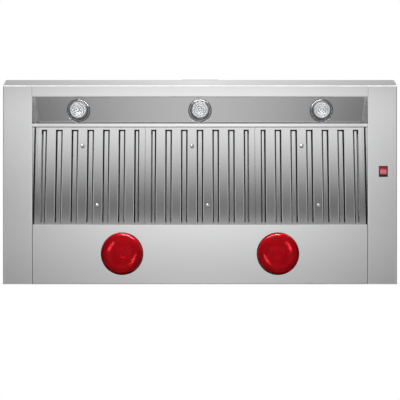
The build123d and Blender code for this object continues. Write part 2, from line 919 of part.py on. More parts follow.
def blower_wheel():
    """Double-inlet squirrel-cage wheel: blades between two end rings and a middle disc on the hub."""
    half = wheel_width / 2
    blade = extrude(Plane.YZ * blade_section(), amount=half, both=True)
    blades = [Rot(360 / blade_count * i, 0, 0) * blade for i in range(blade_count)]
    wheel = rod(wheel_radius, wheel_ring, along_x(-wheel_ring / 2, 0, 0))
    wheel += rod(hub_radius, hub_length, along_x(motor_start - hub_motor_gap - hub_length, 0, 0))
    ring = rod(wheel_radius, wheel_ring, along_x(0, 0, 0))
    ring -= rod(wheel_radius - blade_depth, wheel_ring, along_x(0, 0, 0))
    wheel += [Pos(-half, 0, 0) * ring, Pos(half - wheel_ring, 0, 0) * ring] + blades
    wheel -= rod(shaft_radius, 2 * shaft_length, along_x(-shaft_length, 0, 0))
    return Pos(0, blower_y, scroll_height) * wheel


shaft_start = motor_start - hub_length - shaft_tail


def motor_shaft():
    """Steel shaft from the hub into the motor."""
    return rod(shaft_radius, shaft_length, along_x(shaft_start, blower_y, scroll_height))


def blower_motor():
    """Motor that sits half inside the wheel, with rounded end bells and a blind shaft bore."""
    body = rod(motor_radius, motor_length, along_x(motor_start, blower_y, scroll_height))
    body = fillet(body.edges().filter_by(GeomType.CIRCLE), motor_edge)
    bore_length = shaft_start + shaft_length - motor_start + seat_gap
    start = along_x(motor_start, blower_y, scroll_height)
    return body - rod(shaft_radius + shaft_gap, bore_length, start)


def motor_bracket():
    """Band round the motor with three arms screwed to the housing's side."""
    start = along_x(scroll_half, blower_y, scroll_height)
    band_radius = motor_radius + motor_arm_sheet
    bracket = rod(band_radius, motor_band, start)
    arm_reach = inlet_radius + motor_arm_overlap
    for angle in motor_arm_angles:
        arm = Pos(arm_reach / 2, 0) * Rectangle(arm_reach, motor_arm_width)
        bracket += extrude(start * Rot(0, 0, angle) * arm, amount=motor_arm_sheet)
    return bracket - rod(motor_radius, motor_band, start)


# Duct collar and dampers
def duct_collar():
    """Round collar with a flange, pin bores and the bead that the closed flaps rest on."""
    low = Plane.XY.offset(hood_height) * Pos(0, duct_y)
    inner = collar_radius - collar_sheet
    tube = rod(collar_radius, collar_height, low)
    flange = rod(collar_radius + collar_flange, sheet, low)
    collar = tube + flange - rod(inner, collar_height, low)
    bead_top = pin_z - flap_drop - flap_sheet - seat_gap
    bead_low = Plane.XY.offset(bead_top - bead_sheet) * Pos(0, duct_y)
    collar += rod(inner, bead_sheet, bead_low) - rod(inner - bead_width, bead_sheet, bead_low)
    collar -= rod(pin_radius + pin_gap, 4 * collar_radius, along_x(-2 * collar_radius, duct_y, pin_z))
    for x, y in collar_screw_places:
        collar -= screw_hole(x, y, hood_height)
    return collar


def damper_pin():
    """Straight pin across the collar."""
    reach = collar_radius - seat_gap
    return rod(pin_radius, 2 * reach, along_x(-reach, duct_y, pin_z))


def damper_flap(knuckle_places):
    """Half disc on the wall side of the pin, hung from two knuckles, in the pin's own frame."""
    radius = collar_radius - collar_sheet - flap_gap
    plate = rod(radius, flap_sheet, Plane.XY.offset(-flap_drop - flap_sheet))
    plate &= block((-radius, radius), (flap_inner_edge, radius), (-knuckle_radius, 0))
    for x in knuckle_places:
        start = along_x(x - knuckle_length / 2, 0, 0)
        plate += rod(knuckle_radius, knuckle_length, start)
        plate += block(
            (x - knuckle_length / 2, x + knuckle_length / 2),
            (0, flap_inner_edge + flap_sheet),
            (-flap_drop - flap_sheet, -flap_drop),
        )
    return plate - rod(pin_radius + pin_gap, 4 * radius, along_x(-2 * radius, 0, 0))


# Electrics
def junction_box():
    """Open steel box over the wiring hole."""
    width, depth, height = box_size
    place = Pos(wire_hole_x, -sheet - depth / 2, wire_hole_height)
    shell = Box(width, depth, height)
    hollow = Pos(0, -box_wall, 0) * Box(width - 2 * box_wall, depth, height - 2 * box_wall)
    wire = Plane(origin=(0, -depth, 0), x_dir=(1, 0, 0), z_dir=(0, 1, 0))
    return place * (shell - hollow - rod(wire_hole_radius, 2 * depth, wire))


def junction_box_cover():
    """Lid with two folded edges that closes the box."""
    width, depth, height = box_size
    front = -sheet - depth
    lid = block(
        (wire_hole_x - width / 2 - box_wall, wire_hole_x + width / 2 + box_wall),
        (front - box_wall, front),
        (wire_hole_height - height / 2, wire_hole_height + height / 2),
    )
    for x_side in (-1, 1):
        low = wire_hole_x + x_side * width / 2
        edge = sorted((low, low + x_side * box_wall))
        lid += block(
            edge, (front, front + depth / 3), (wire_hole_height - height / 2, wire_hole_height + height / 2)
        )
    return lid


def lamp_transformer():
    """Potted transformer for the halogen lamps, on the back panel."""
    width, depth, height = transformer_size
    body = Pos(-wire_hole_x, -sheet - depth / 2, wire_hole_height) * Box(width, depth, height)
    return fillet(body.edges().filter_by(Axis.Z), transformer_corner)


# Write every piece
save("front_panel", front_panel())
save("right_side_panel", side_panel())
save("left_side_panel", mirror(side_panel(), about=Plane.YZ))
switch_hole = block(
    (switch_x - switch_body_width / 2 - seat_gap, switch_x + switch_body_width / 2 + seat_gap),
    (switch_y - switch_body_length / 2 - seat_gap, switch_y + switch_body_length / 2 + seat_gap),
    (-tab, tab),
)
save("right_rim", side_rim() - switch_hole)
save("left_rim", mirror(side_rim(), about=Plane.YZ))
save("back_panel", back_panel())
save("top_panel", top_panel())
save("rear_lamp_panel", rear_lamp_panel())
save("grease_trough", grease_trough())
save("light_tray", light_tray())
save("filter_front_rail", filter_front_rail())

for name, x in (("left", -light_spacing), ("centre", 0.0), ("right", light_spacing)):
    place = light_place(x).location
    save(f"{name}_light_ring", place * light_ring())
    save(f"{name}_light_can", place * light_can())
    save(f"{name}_light_lamp", place * light_lamp())

for name, step in (("left", -1), ("centre", 0), ("right", 1)):
    place = filter_place(step * filter_step).location
    save(f"{name}_filter_frame", place * filter_frame())
    save_group(f"{name}_filter_front_baffles", [place * channel for channel in front_baffles()])
    save_group(f"{name}_filter_rear_baffles", [place * channel for channel in rear_baffles()])
    save_group(f"{name}_filter_pulls", [place * stud for stud in pull_studs()])

for name, side in (("left", -1), ("right", 1)):
    bulb_place = Pos(side * (lamp_spacing + lamp_shift), lamp_y - lamp_shift, 0)
    save(f"{name}_warming_bulb", bulb_place * lamp_bulb())
    save(f"{name}_warming_socket", bulb_place * lamp_socket())
    save(f"{name}_warming_can", Pos(side * lamp_spacing, lamp_y, 0) * lamp_can())

save("switch_bezel", Pos(switch_x, switch_y, 0) * switch_bezel())
save("switch_rocker", Pos(switch_x, switch_y, 0) * rocker())

save("control_plate", control_plate())
save("button_switch_block", button_switch_block())
for index, name in enumerate(("light", "fan_off", "fan_low", "fan_high")):
    save(f"{name}_button", push_button(index))

save("blower_housing", blower_housing())
save("blower_wheel", blower_wheel())
save("motor_shaft", motor_shaft())
save("blower_motor", blower_motor())
save("motor_bracket", motor_bracket())

save("duct_collar", duct_collar())
save("damper_pin", damper_pin())
flap_place = Pos(0, duct_y, pin_z)
rear_knuckles = (-knuckle_step / 2, 3 * knuckle_step / 2)
front_knuckles = (knuckle_step / 2, -3 * knuckle_step / 2)
save("rear_damper_flap", flap_place * damper_flap(rear_knuckles))
save("front_damper_flap", flap_place * mirror(damper_flap(front_knuckles), about=Plane.XZ))

save("junction_box", junction_box())
save("junction_box_cover", junction_box_cover())
save("lamp_transformer", lamp_transformer())
collar_screws_placed = [screw(x, y, hood_height + sheet) for x, y in collar_screw_places]
blower_screws_placed = [screw(x, y, hood_height) for x, y in blower_screw_places]
save_group("sheet_metal_screws", collar_screws_placed + blower_screws_placed)
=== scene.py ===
import json
import math

import bmesh
import bpy
from bpy.props import FloatProperty, FloatVectorProperty, IntProperty, PointerProperty
from mathutils import Matrix, Vector

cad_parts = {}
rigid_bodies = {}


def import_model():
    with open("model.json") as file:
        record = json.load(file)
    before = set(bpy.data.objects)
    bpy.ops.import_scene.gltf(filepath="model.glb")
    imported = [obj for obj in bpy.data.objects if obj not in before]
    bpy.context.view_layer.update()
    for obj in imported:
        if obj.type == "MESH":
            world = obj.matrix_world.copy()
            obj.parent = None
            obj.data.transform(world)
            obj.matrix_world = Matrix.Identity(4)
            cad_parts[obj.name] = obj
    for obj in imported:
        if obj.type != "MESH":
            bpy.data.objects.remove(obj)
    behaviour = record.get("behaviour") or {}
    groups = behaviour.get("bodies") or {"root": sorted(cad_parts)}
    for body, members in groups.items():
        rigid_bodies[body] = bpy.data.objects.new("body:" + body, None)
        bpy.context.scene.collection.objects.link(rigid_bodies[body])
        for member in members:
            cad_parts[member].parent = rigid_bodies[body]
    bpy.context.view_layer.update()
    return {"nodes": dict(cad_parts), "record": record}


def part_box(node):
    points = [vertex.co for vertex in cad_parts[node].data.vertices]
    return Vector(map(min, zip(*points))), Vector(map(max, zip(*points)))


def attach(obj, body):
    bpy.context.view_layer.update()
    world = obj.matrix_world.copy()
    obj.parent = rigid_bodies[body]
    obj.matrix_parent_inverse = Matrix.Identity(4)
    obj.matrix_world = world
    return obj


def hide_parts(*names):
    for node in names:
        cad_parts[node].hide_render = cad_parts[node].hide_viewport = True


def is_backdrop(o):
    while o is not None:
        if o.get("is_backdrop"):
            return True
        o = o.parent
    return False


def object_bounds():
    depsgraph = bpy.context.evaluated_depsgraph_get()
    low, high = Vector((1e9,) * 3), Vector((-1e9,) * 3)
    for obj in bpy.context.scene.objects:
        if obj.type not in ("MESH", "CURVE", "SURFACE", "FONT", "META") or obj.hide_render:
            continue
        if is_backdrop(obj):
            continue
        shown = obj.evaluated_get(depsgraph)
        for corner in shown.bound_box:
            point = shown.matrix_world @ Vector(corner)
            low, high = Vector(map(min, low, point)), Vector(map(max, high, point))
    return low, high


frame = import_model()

bl_info = {
    "name": "Range Hood Finish",
    "version": (1, 0, 0),
    "blender": (4, 5, 0),
    "location": "View3D > Sidebar > Range Hood",
    "description": "Dresses a packed wall mount range hood with its finishes, lamps and small fittings",
    "category": "Object",
}

NODES = frame["nodes"]
BODY_OF = {node: body for body, names in frame["record"]["behaviour"]["bodies"].items() for node in names}
SIDES = ("left", "centre", "right")
LAMP_SIDES = ("left", "right")


# Sizes and colours that a user would change
class HoodFinishes(bpy.types.PropertyGroup):
    """Colours and roughness of the hood's metals and plastics."""

    steel_colour: FloatVectorProperty(
        name="Steel", description="Colour of the brushed panels", subtype="COLOR", default=(0.63, 0.63, 0.635)
    )
    filter_colour: FloatVectorProperty(
        name="Filter steel", description="Colour of the baffles", subtype="COLOR", default=(0.6, 0.6, 0.605)
    )
    steel_roughness: FloatProperty(
        name="Steel roughness",
        description="Blur of the panels' reflections",
        subtype="FACTOR",
        default=0.15,
        min=0.05,
        max=0.8,
    )
    zinc_colour: FloatVectorProperty(
        name="Zinc", description="Colour of the galvanised sheet", subtype="COLOR", default=(0.56, 0.58, 0.6)
    )
    rocker_colour: FloatVectorProperty(
        name="Rocker", description="Colour of the rocker", subtype="COLOR", default=(0.75, 0.004, 0.022)
    )
    ruby_colour: FloatVectorProperty(
        name="Ruby glass", description="Colour of the lamps", subtype="COLOR", default=(0.95, 0.012, 0.025)
    )


class HoodFittings(bpy.types.PropertyGroup):
    """Sizes of the lamps and lights, and the slopes that the fittings lie on."""

    tray_slope: FloatProperty(
        name="Tray slope",
        description="Angle of the light tray",
        subtype="ANGLE",
        default=math.radians(17.0),
    )
    filter_slope: FloatProperty(
        name="Filter slope",
        description="Angle of the filters",
        subtype="ANGLE",
        default=math.radians(10.09),
    )
    lens_shift: FloatProperty(
        name="Lens shift", description="Lean of the side lights' cones", unit="LENGTH", default=0.0028
    )
    bulb_shift: FloatProperty(
        name="Bulb shift", description="Lean of the bulbs out and back", unit="LENGTH", default=0.002
    )
    bulb_glass: FloatProperty(
        name="Bulb glass", description="Wall of a warming lamp's glass", unit="LENGTH", default=0.0012
    )
    lens_steps: IntProperty(name="Lens steps", description="Rings moulded in a light's lens", default=3)
    reflector_facets: IntProperty(
        name="Facets", description="Facets round a small light's reflector", default=24, min=8
    )
    round_steps: IntProperty(
        name="Round steps", description="Segments round a turned piece", default=72, min=16
    )


class HoodStudio(bpy.types.PropertyGroup):
    """The camera and the lights."""

    camera_height: FloatProperty(
        name="Camera drop", description="Camera below the rim", unit="LENGTH", default=4.25
    )
    camera_lens: FloatProperty(name="Lens", description="Focal length", unit="CAMERA", default=123.66)
    camera_y: FloatProperty(
        name="Camera depth", description="Camera in front of the wall", unit="LENGTH", default=0.2605
    )
    light_level: FloatProperty(
        name="Light level",
        description="Strength of all the lights",
        subtype="FACTOR",
        default=1.0,
        min=0.0,
        max=2.0,
    )
    card_drop: FloatProperty(
        name="Card drop", description="Reflection card below the rim", unit="LENGTH", default=2.0
    )
    card_width: FloatProperty(name="Card width", description="Along the hood", unit="LENGTH", default=2.8)
    card_front: FloatProperty(
        name="Card front", description="Front edge of the card", unit="LENGTH", default=-1.5
    )
    card_back: FloatProperty(
        name="Card back", description="Rear edge of the card", unit="LENGTH", default=1.3
    )
    sky_fading: FloatProperty(
        name="Sky fading",
        description="Dimming of the upper card to its ends",
        subtype="FACTOR",
        default=0.52,
        min=0.0,
        max=1.0,
    )
    front_light: FloatProperty(
        name="Front light", description="Power of the low front light", unit="POWER", default=12.0
    )
    stud_light: FloatProperty(
        name="Stud light", description="Power of the light on a filter's studs", unit="POWER", default=32.0
    )
    trim_light: FloatProperty(
        name="Trim light", description="Power of the light on a trim", unit="POWER", default=80.0
    )
    lens_light: FloatProperty(
        name="Lens light", description="Power of the light on a small lens", unit="POWER", default=6.5
    )
    rim_light: FloatProperty(
        name="Rim light", description="Power of the light on a red lamp's rim", unit="POWER", default=55.0
    )
    outer_glint: FloatProperty(
        name="Outer glint", description="Power of a red lamp's outer light", unit="POWER", default=9.0
    )
    inner_glint: FloatProperty(
        name="Inner glint", description="Power of a red lamp's inner light", unit="POWER", default=5.4
    )


# Node trees
def add(tree, kind, settings=None, inputs=None):
    """Add a node, set its settings, and set or link its inputs by name or number."""
    made = tree.nodes.new(kind)
    for name, value in (settings or {}).items():
        setattr(made, name, value)
    for name, value in (inputs or {}).items():
        if isinstance(value, bpy.types.NodeSocket):
            tree.links.new(value, made.inputs[name])
        else:
            made.inputs[name].default_value = value
    return made


def combine(tree, operation, first, second):
    """Math node on two values."""
    return add(tree, "ShaderNodeMath", {"operation": operation}, {0: first, 1: second}).outputs[0]


def remap(tree, value, low, high, settings=None):
    """Spread a 0 to 1 value over another range."""
    inputs = {"Value": value, "To Min": low, "To Max": high}
    inputs.update(settings or {})
    return add(tree, "ShaderNodeMapRange", None, inputs).outputs["Result"]


def blend_colours(tree, factor, first, second, mode="MIX"):
    """Mix two colours."""
    settings = {"data_type": "RGBA", "blend_type": mode}
    inputs = {"Factor": factor, 6: first, 7: second}
    return add(tree, "ShaderNodeMix", settings, inputs).outputs[2]


def ramp_along(tree, value, start, end, stops):
    """Smooth course of a number along a distance, given by its values at some stops."""
    share = remap(tree, value, 0.0, 1.0, {"From Min": start, "From Max": end})
    ramp = add(tree, "ShaderNodeValToRGB", None, {"Fac": share})
    ramp.color_ramp.interpolation = "EASE"
    for index, (place, level) in enumerate(stops):
        elements = ramp.color_ramp.elements
        stop = elements[index] if index < 2 else elements.new(1.0)
        stop.position = (place - start) / (end - start)
        stop.color = (level, level, level, 1.0)
    return ramp.outputs["Color"]


def new_group(name, inputs, outputs):
    """Empty shader node group with its sockets."""
    group = bpy.data.node_groups.new(name, "ShaderNodeTree")
    for label, kind, default in inputs:
        socket = group.interface.new_socket(label, in_out="INPUT", socket_type=kind)
        socket.default_value = default
    for label, kind in outputs:
        group.interface.new_socket(label, in_out="OUTPUT", socket_type=kind)
    return group, group.nodes.new("NodeGroupInput"), group.nodes.new("NodeGroupOutput")


def grain_group():
    """Fine parallel scratches, soft patches of handling and the height that both leave."""
    inputs = (
        ("Stretch", "NodeSocketVector", (4.0, 900.0, 900.0)),
        ("Patch Size", "NodeSocketFloat", 6.0),
    )
    outputs = (
        ("Scratches", "NodeSocketFloat"),
        ("Patches", "NodeSocketFloat"),
        ("Height", "NodeSocketFloat"),
    )
    group, given, out = new_group("Brushed grain", inputs, outputs)
    place = add(group, "ShaderNodeTexCoord").outputs["Object"]
    along = add(group, "ShaderNodeMapping", None, {"Vector": place, "Scale": given.outputs["Stretch"]})
    settings = {"noise_dimensions": "3D"}
    inputs = {"Vector": along.outputs[0], "Scale": 1.0, "Detail": 3.0, "Roughness": 0.65}
    fine = add(group, "ShaderNodeTexNoise", settings, inputs).outputs["Fac"]
    inputs = {"Vector": place, "Scale": given.outputs["Patch Size"], "Detail": 3.0, "Roughness": 0.55}
    soft = add(group, "ShaderNodeTexNoise", settings, inputs).outputs["Fac"]
    group.links.new(fine, out.inputs["Scratches"])
    group.links.new(soft, out.inputs["Patches"])
    group.links.new(combine(group, "MULTIPLY", fine, soft), out.inputs["Height"])
    return group


def edge_group():
    """Mask of the edges that hands and cloths rub bright, broken up by noise."""
    inputs = (("Width", "NodeSocketFloat", 0.001), ("Breakup", "NodeSocketFloat", 60.0))
    group, given, out = new_group("Rubbed edges", inputs, (("Mask", "NodeSocketFloat"),))
    rounded = add(group, "ShaderNodeBevel", {"samples": 4}, {"Radius": given.outputs["Width"]})
    flat = add(group, "ShaderNodeNewGeometry").outputs["Normal"]
    settings = {"operation": "DOT_PRODUCT"}
    turned = add(group, "ShaderNodeVectorMath", settings, {0: rounded.outputs[0], 1: flat})
    limits = {"From Min": 0.999, "From Max": 0.85}
    sharp = remap(group, turned.outputs["Value"], 0.0, 1.0, limits)
    place = add(group, "ShaderNodeTexCoord").outputs["Object"]
    inputs = {"Vector": place, "Scale": given.outputs["Breakup"], "Detail": 2.0}
    noise = add(group, "ShaderNodeTexNoise", None, inputs).outputs["Fac"]
    group.links.new(combine(group, "MULTIPLY", sharp, noise), out.inputs["Mask"])
    return group


def spangle_group():
    """Crystal patches of hot-dipped zinc."""
    inputs = (("Crystal Size", "NodeSocketFloat", 90.0),)
    outputs = (("Shade", "NodeSocketFloat"), ("Tint", "NodeSocketFloat"))
    group, given, out = new_group("Zinc spangle", inputs, outputs)
    place = add(group, "ShaderNodeTexCoord").outputs["Object"]
    inputs = {"Vector": place, "Scale": given.outputs["Crystal Size"], "Randomness": 1.0}
    cells = add(group, "ShaderNodeTexVoronoi", None, inputs)
    split = add(group, "ShaderNodeSeparateColor", None, {"Color": cells.outputs["Color"]})
    group.links.new(split.outputs["Red"], out.inputs["Shade"])
    group.links.new(split.outputs["Green"], out.inputs["Tint"])
    return group


GROUPS = {}


def place_group(tree, maker, inputs):
    """Place a node group in a tree, built when first asked for, and give its outputs."""
    if maker not in GROUPS:
        GROUPS[maker] = maker()
    return add(tree, "ShaderNodeGroup", {"node_tree": GROUPS[maker]}, inputs).outputs


def place_grain(tree, stretch, patch_size):
    """Outputs of the grain, stretched along the three axes."""
    return place_group(tree, grain_group, {"Stretch": stretch, "Patch Size": patch_size})


def place_edges(tree, width, breakup):
    """Mask of the rubbed edges."""
    return place_group(tree, edge_group, {"Width": width, "Breakup": breakup})["Mask"]


def raise_surface(tree, shader, strength, distance, height):
    """Bump a material's surface by a height."""
    inputs = {"Strength": strength, "Distance": distance, "Height": height}
    tree.links.new(add(tree, "ShaderNodeBump", None, inputs).outputs[0], shader.inputs["Normal"])


def new_material(name, values):
    """Material with a Principled BSDF whose plain values are set on its own sockets."""
    material = bpy.data.materials.new(name)
    material.use_nodes = True
    shader = material.node_tree.nodes["Principled BSDF"]
    for socket, value in values.items():
        shader.inputs[socket].default_value = value
    return material, material.node_tree, shader


def opaque(colour):
    """Four-part colour."""
    return (colour[0], colour[1], colour[2], 1.0)


def shade(colour, factor):
    """A colour made darker or lighter."""
    return (colour[0] * factor, colour[1] * factor, colour[2] * factor, 1.0)


# Materials
def brushed_steel(name, colour, roughness, stretch):
    """Stainless sheet with its grain along one axis."""
    material, tree, shader = new_material(name, {"Metallic": 1.0})
    grain = place_grain(tree, stretch, 5.0)
    fine = remap(tree, grain["Scratches"], 0.0, 1.0, {"From Min": 0.3, "From Max": 0.7})
    body = blend_colours(tree, fine, shade(colour, 0.985), shade(colour, 1.015))
    worn = blend_colours(tree, place_edges(tree, 0.0008, 80.0), body, shade(colour, 1.25))
    tree.links.new(worn, shader.inputs["Base Color"])
    patches = remap(tree, grain["Patches"], roughness - 0.02, roughness + 0.02)
    streaks = remap(tree, fine, -0.008, 0.008)
    tree.links.new(combine(tree, "ADD", patches, streaks), shader.inputs["Roughness"])
    raise_surface(tree, shader, 0.02, 0.0002, grain["Height"])
    return material


def galvanised_sheet(name, colour):
    """Zinc-coated sheet with crystal spangle."""
    material, tree, shader = new_material(name, {"Metallic": 1.0})
    crystals = place_group(tree, spangle_group, {"Crystal Size": 70.0})
    tone = blend_colours(tree, crystals["Shade"], shade(colour, 0.85), shade(colour, 1.1))
    tree.links.new(tone, shader.inputs["Base Color"])
    tree.links.new(remap(tree, crystals["Tint"], 0.34, 0.52), shader.inputs["Roughness"])
    return material


def plain_metal(name, colour, roughness, spread=0.06):
    """Turned, rolled or plated metal with slight handling marks."""
    material, tree, shader = new_material(name, {"Metallic": 1.0})
    patches = place_grain(tree, (300.0, 300.0, 300.0), 25.0)["Patches"]
    tone = blend_colours(tree, patches, shade(colour, 0.9), shade(colour, 1.06))
    tree.links.new(tone, shader.inputs["Base Color"])
    rough = remap(tree, patches, max(roughness - spread, 0.02), roughness + spread)
    tree.links.new(rough, shader.inputs["Roughness"])
    return material


def moulded_plastic(name, colour, roughness, texture=0.08, coat=0.0):
    """Moulded plastic with a faint texture and rubbed edges."""
    values = {"Metallic": 0.0, "IOR": 1.5, "Coat Weight": coat, "Coat Roughness": 0.06}
    material, tree, shader = new_material(name, values)
    grain = place_grain(tree, (1400.0, 1400.0, 1400.0), 40.0)
    tone = blend_colours(tree, grain["Patches"], shade(colour, 0.85), shade(colour, 1.15))
    lighter = opaque([part * 0.8 + 0.1 for part in colour])
    worn = blend_colours(tree, place_edges(tree, 0.0006, 200.0), tone, lighter)
    tree.links.new(worn, shader.inputs["Base Color"])
    rough = remap(tree, grain["Patches"], roughness - 0.06, roughness + 0.08)
    tree.links.new(rough, shader.inputs["Roughness"])
    raise_surface(tree, shader, texture, 0.0002, grain["Scratches"])
    return material


def rocker_with_painted_light(name, colour, front, length):
    """Red switch plastic with a painted reflection, pale pink, across its middle and painted shade at the end
    that is tipped in.
    """
    material = moulded_plastic(name, colour, 0.2, 0.02, 0.5)
    tree = material.node_tree
    shader = tree.nodes["Principled BSDF"]
    place = add(tree, "ShaderNodeTexCoord").outputs["Object"]
    depth = add(tree, "ShaderNodeSeparateXYZ", None, {0: place}).outputs["Y"]
    # Painted light along the rocker: stops of the painted reflection band, then stops of the painted shade at
    # the tipped-in end
    painted_sheen_stops = ((0.0, 0.0), (0.22, 0.0), (0.36, 1.0), (0.7, 0.9), (0.8, 0.0), (1.0, 0.0))
    dark = ((0.0, 0.0), (0.72, 0.0), (0.84, 0.85), (1.0, 1.0))
    back = front + length
    pale = ramp_along(tree, depth, front, back, [(front + share * length, level) for share, level in painted_sheen_stops])
    painted_shade = ramp_along(tree, depth, front, back, [(front + share * length, level) for share, level in dark])
    worn = shader.inputs["Base Color"].links[0].from_socket
    # Blend in the pale pink painted reflection, then darken the tipped-in end as painted shade
    lit = blend_colours(tree, pale, worn, (1.0, 0.24, 0.28, 1.0))
    tree.links.new(blend_colours(tree, painted_shade, lit, (0.12, 0.0, 0.004, 1.0)), shader.inputs["Base Color"])
    return material


def satin_paint(name, colour):
    """Black enamel on the motor, with orange peel."""
    values = {"Metallic": 0.0, "Coat Weight": 0.3, "Coat Roughness": 0.2}
    material, tree, shader = new_material(name, values)
    grain = place_grain(tree, (260.0, 260.0, 260.0), 30.0)
    tone = blend_colours(tree, grain["Patches"], shade(colour, 0.8), shade(colour, 1.4))
    tree.links.new(tone, shader.inputs["Base Color"])
    tree.links.new(remap(tree, grain["Patches"], 0.35, 0.5), shader.inputs["Roughness"])
    raise_surface(tree, shader, 0.15, 0.0003, grain["Scratches"])
    return material


def clear_glass(name, colour, roughness, wave, clearness, tint=(1.0, 1.0, 1.0)):
    """Glass with a faint unevenness, a share of milky body, and a tint in what it mirrors straight on."""
    values = {
        "Base Color": opaque(colour),
        "Metallic": 0.0,
        "Transmission Weight": clearness,
        "IOR": 1.48,
        "Specular Tint": opaque(tint),
    }
    material, tree, shader = new_material(name, values)
    patches = place_grain(tree, (120.0, 120.0, 120.0), 40.0)["Patches"]
    raise_surface(tree, shader, wave, 0.0004, patches)
    rough = remap(tree, patches, roughness * 0.6, roughness * 1.4 + 0.01)
    tree.links.new(rough, shader.inputs["Roughness"])
    return material


def glazed_ceramic(name, colour):
    """White ceramic with a thin glaze."""
    values = {"Metallic": 0.0, "Coat Weight": 0.7, "Coat Roughness": 0.08, "IOR": 1.52}
    material, tree, shader = new_material(name, values)
    patches = place_grain(tree, (500.0, 500.0, 500.0), 60.0)["Patches"]
    tone = blend_colours(tree, patches, shade(colour, 0.92), shade(colour, 1.03))
    tree.links.new(tone, shader.inputs["Base Color"])
    tree.links.new(remap(tree, patches, 0.25, 0.4), shader.inputs["Roughness"])
    return material


MATERIALS = {}


def make_materials():
    """All finishes, by the names that the pieces use."""
    look = bpy.context.scene.hood_finishes
    steel = look.steel_colour
    rough = look.steel_roughness
    MATERIALS["steel_x"] = brushed_steel("Steel brushed along X", steel, rough, (5.0, 1100.0, 1100.0))
    MATERIALS["steel_y"] = brushed_steel("Steel brushed along Y", steel, rough, (1100.0, 5.0, 1100.0))
    baffle = look.filter_colour
    MATERIALS["filter"] = brushed_steel("Baffle steel", baffle, rough - 0.03, (1300.0, 7.0, 1300.0))
    MATERIALS["zinc"] = galvanised_sheet("Galvanised sheet", look.zinc_colour)
    MATERIALS["plated"] = plain_metal("Zinc plated steel", (0.6, 0.6, 0.61), 0.3)
    MATERIALS["chrome"] = plain_metal("Polished chrome", (0.8, 0.8, 0.81), 0.08, 0.03)
    MATERIALS["satin"] = plain_metal("Satin nickel", (0.5, 0.5, 0.51), 0.32)
    # The trims' lip is chrome darkened all over, a painted shade for the dark that the lip mirrors
    MATERIALS["lip"] = plain_metal("Chrome darkened as shade", (0.14, 0.14, 0.143), 0.12, 0.03)
    # The studs' steel is darkened all over, a painted shade that keeps the domes dark beside their glint
    MATERIALS["stud"] = plain_metal("Steel darkened as shade", (0.4, 0.4, 0.405), 0.15, 0.03)
    MATERIALS["cone"] = plain_metal("Dark grey cone", (0.2, 0.2, 0.205), 0.3)
    MATERIALS["silvering"] = plain_metal("Silvering", (0.85, 0.85, 0.86), 0.22, 0.02)
    MATERIALS["reflector"] = plain_metal("Aluminised reflector", (0.95, 0.95, 0.96), 0.3, 0.02)
    MATERIALS["wheel"] = plain_metal("Rolled aluminium", (0.62, 0.63, 0.64), 0.38)
    MATERIALS["brass"] = plain_metal("Lamp base", (0.72, 0.6, 0.36), 0.28)
    MATERIALS["filament"] = plain_metal("Filament", (0.14, 0.13, 0.13), 0.45)
    MATERIALS["black"] = moulded_plastic("Black plastic", (0.025, 0.025, 0.026), 0.42)
    low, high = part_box("switch_rocker")
    MATERIALS["rocker"] = rocker_with_painted_light("Red rocker plastic", look.rocker_colour, low.y, high.y - low.y)
    MATERIALS["motor"] = satin_paint("Motor enamel", (0.035, 0.036, 0.04))
    MATERIALS["ruby"] = clear_glass("Ruby glass", look.ruby_colour, 0.15, 0.03, 0.82, (1.0, 0.06, 0.1))
    MATERIALS["lens"] = clear_glass("Lens glass", (0.96, 0.97, 0.98), 0.08, 0.02, 0.6)
    # Glass of the lens's grooves: clearer, and darker in colour as painted shade so the rings show
    MATERIALS["painted_shade_groove"] = clear_glass("Lens groove", (0.8, 0.81, 0.82), 0.05, 0.02, 0.92)
    MATERIALS["ceramic"] = glazed_ceramic("Glazed ceramic", (0.84, 0.83, 0.79))


# Mesh tools
def closed_spin(profile, steps):
    """Turn a profile of (radius, height) points round Z into a closed skin, poles included."""
    shape = bmesh.new()
    points = [shape.verts.new((radius, 0.0, height)) for radius, height in profile]
    edges = [shape.edges.new(pair) for pair in zip(points, points[1:])]
    bmesh.ops.spin(
        shape,
        geom=points + edges,
        cent=(0.0, 0.0, 0.0),
        axis=(0.0, 0.0, 1.0),
        angle=math.tau,
        steps=steps,
        use_merge=True,
    )
    bmesh.ops.remove_doubles(shape, verts=shape.verts, dist=1e-6)
    bmesh.ops.recalc_face_normals(shape, faces=shape.faces)
    return shape


def arc(centre, radius, start, end, steps):
    """Points of a profile along an arc, angles in degrees."""
    points = []
    for i in range(steps + 1):
        turn = math.radians(start + (end - start) * i / steps)
        points.append((centre[0] + radius * math.cos(turn), centre[1] + radius * math.sin(turn)))
    return points


def add_piece(name, shape, place, materials, like, replaced=(), smooth=35.0):
    """Put a finished bmesh in the scene at its place, riding on the body of a node."""
    bmesh.ops.transform(shape, matrix=place, verts=shape.verts)
    if place.determinant() < 0:
        bmesh.ops.reverse_faces(shape, faces=shape.faces)
    mesh = bpy.data.meshes.new(name)
    shape.to_mesh(mesh)
    shape.free()
    for material in materials:
        mesh.materials.append(MATERIALS[material])
    piece = bpy.data.objects.new(name, mesh)
    bpy.context.scene.collection.objects.link(piece)
    mesh.shade_smooth()
    mesh.set_sharp_from_angle(angle=math.radians(smooth))
    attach(piece, BODY_OF[like])
    if replaced:
        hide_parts(*replaced)
    return piece


def node_points(node):
    """A node's vertices in the frame's coordinates."""
    return [NODES[node].matrix_world @ vertex.co for vertex in NODES[node].data.vertices]


def clusters(node, reach):
    """A node's vertices, told apart into the solids that lie farther apart than the reach."""
    groups = []
    for point in node_points(node):
        for group in groups:
            if (point - group[0]).length < reach:
                group.append(point)
                break
        else:
            groups.append([point])
    return groups


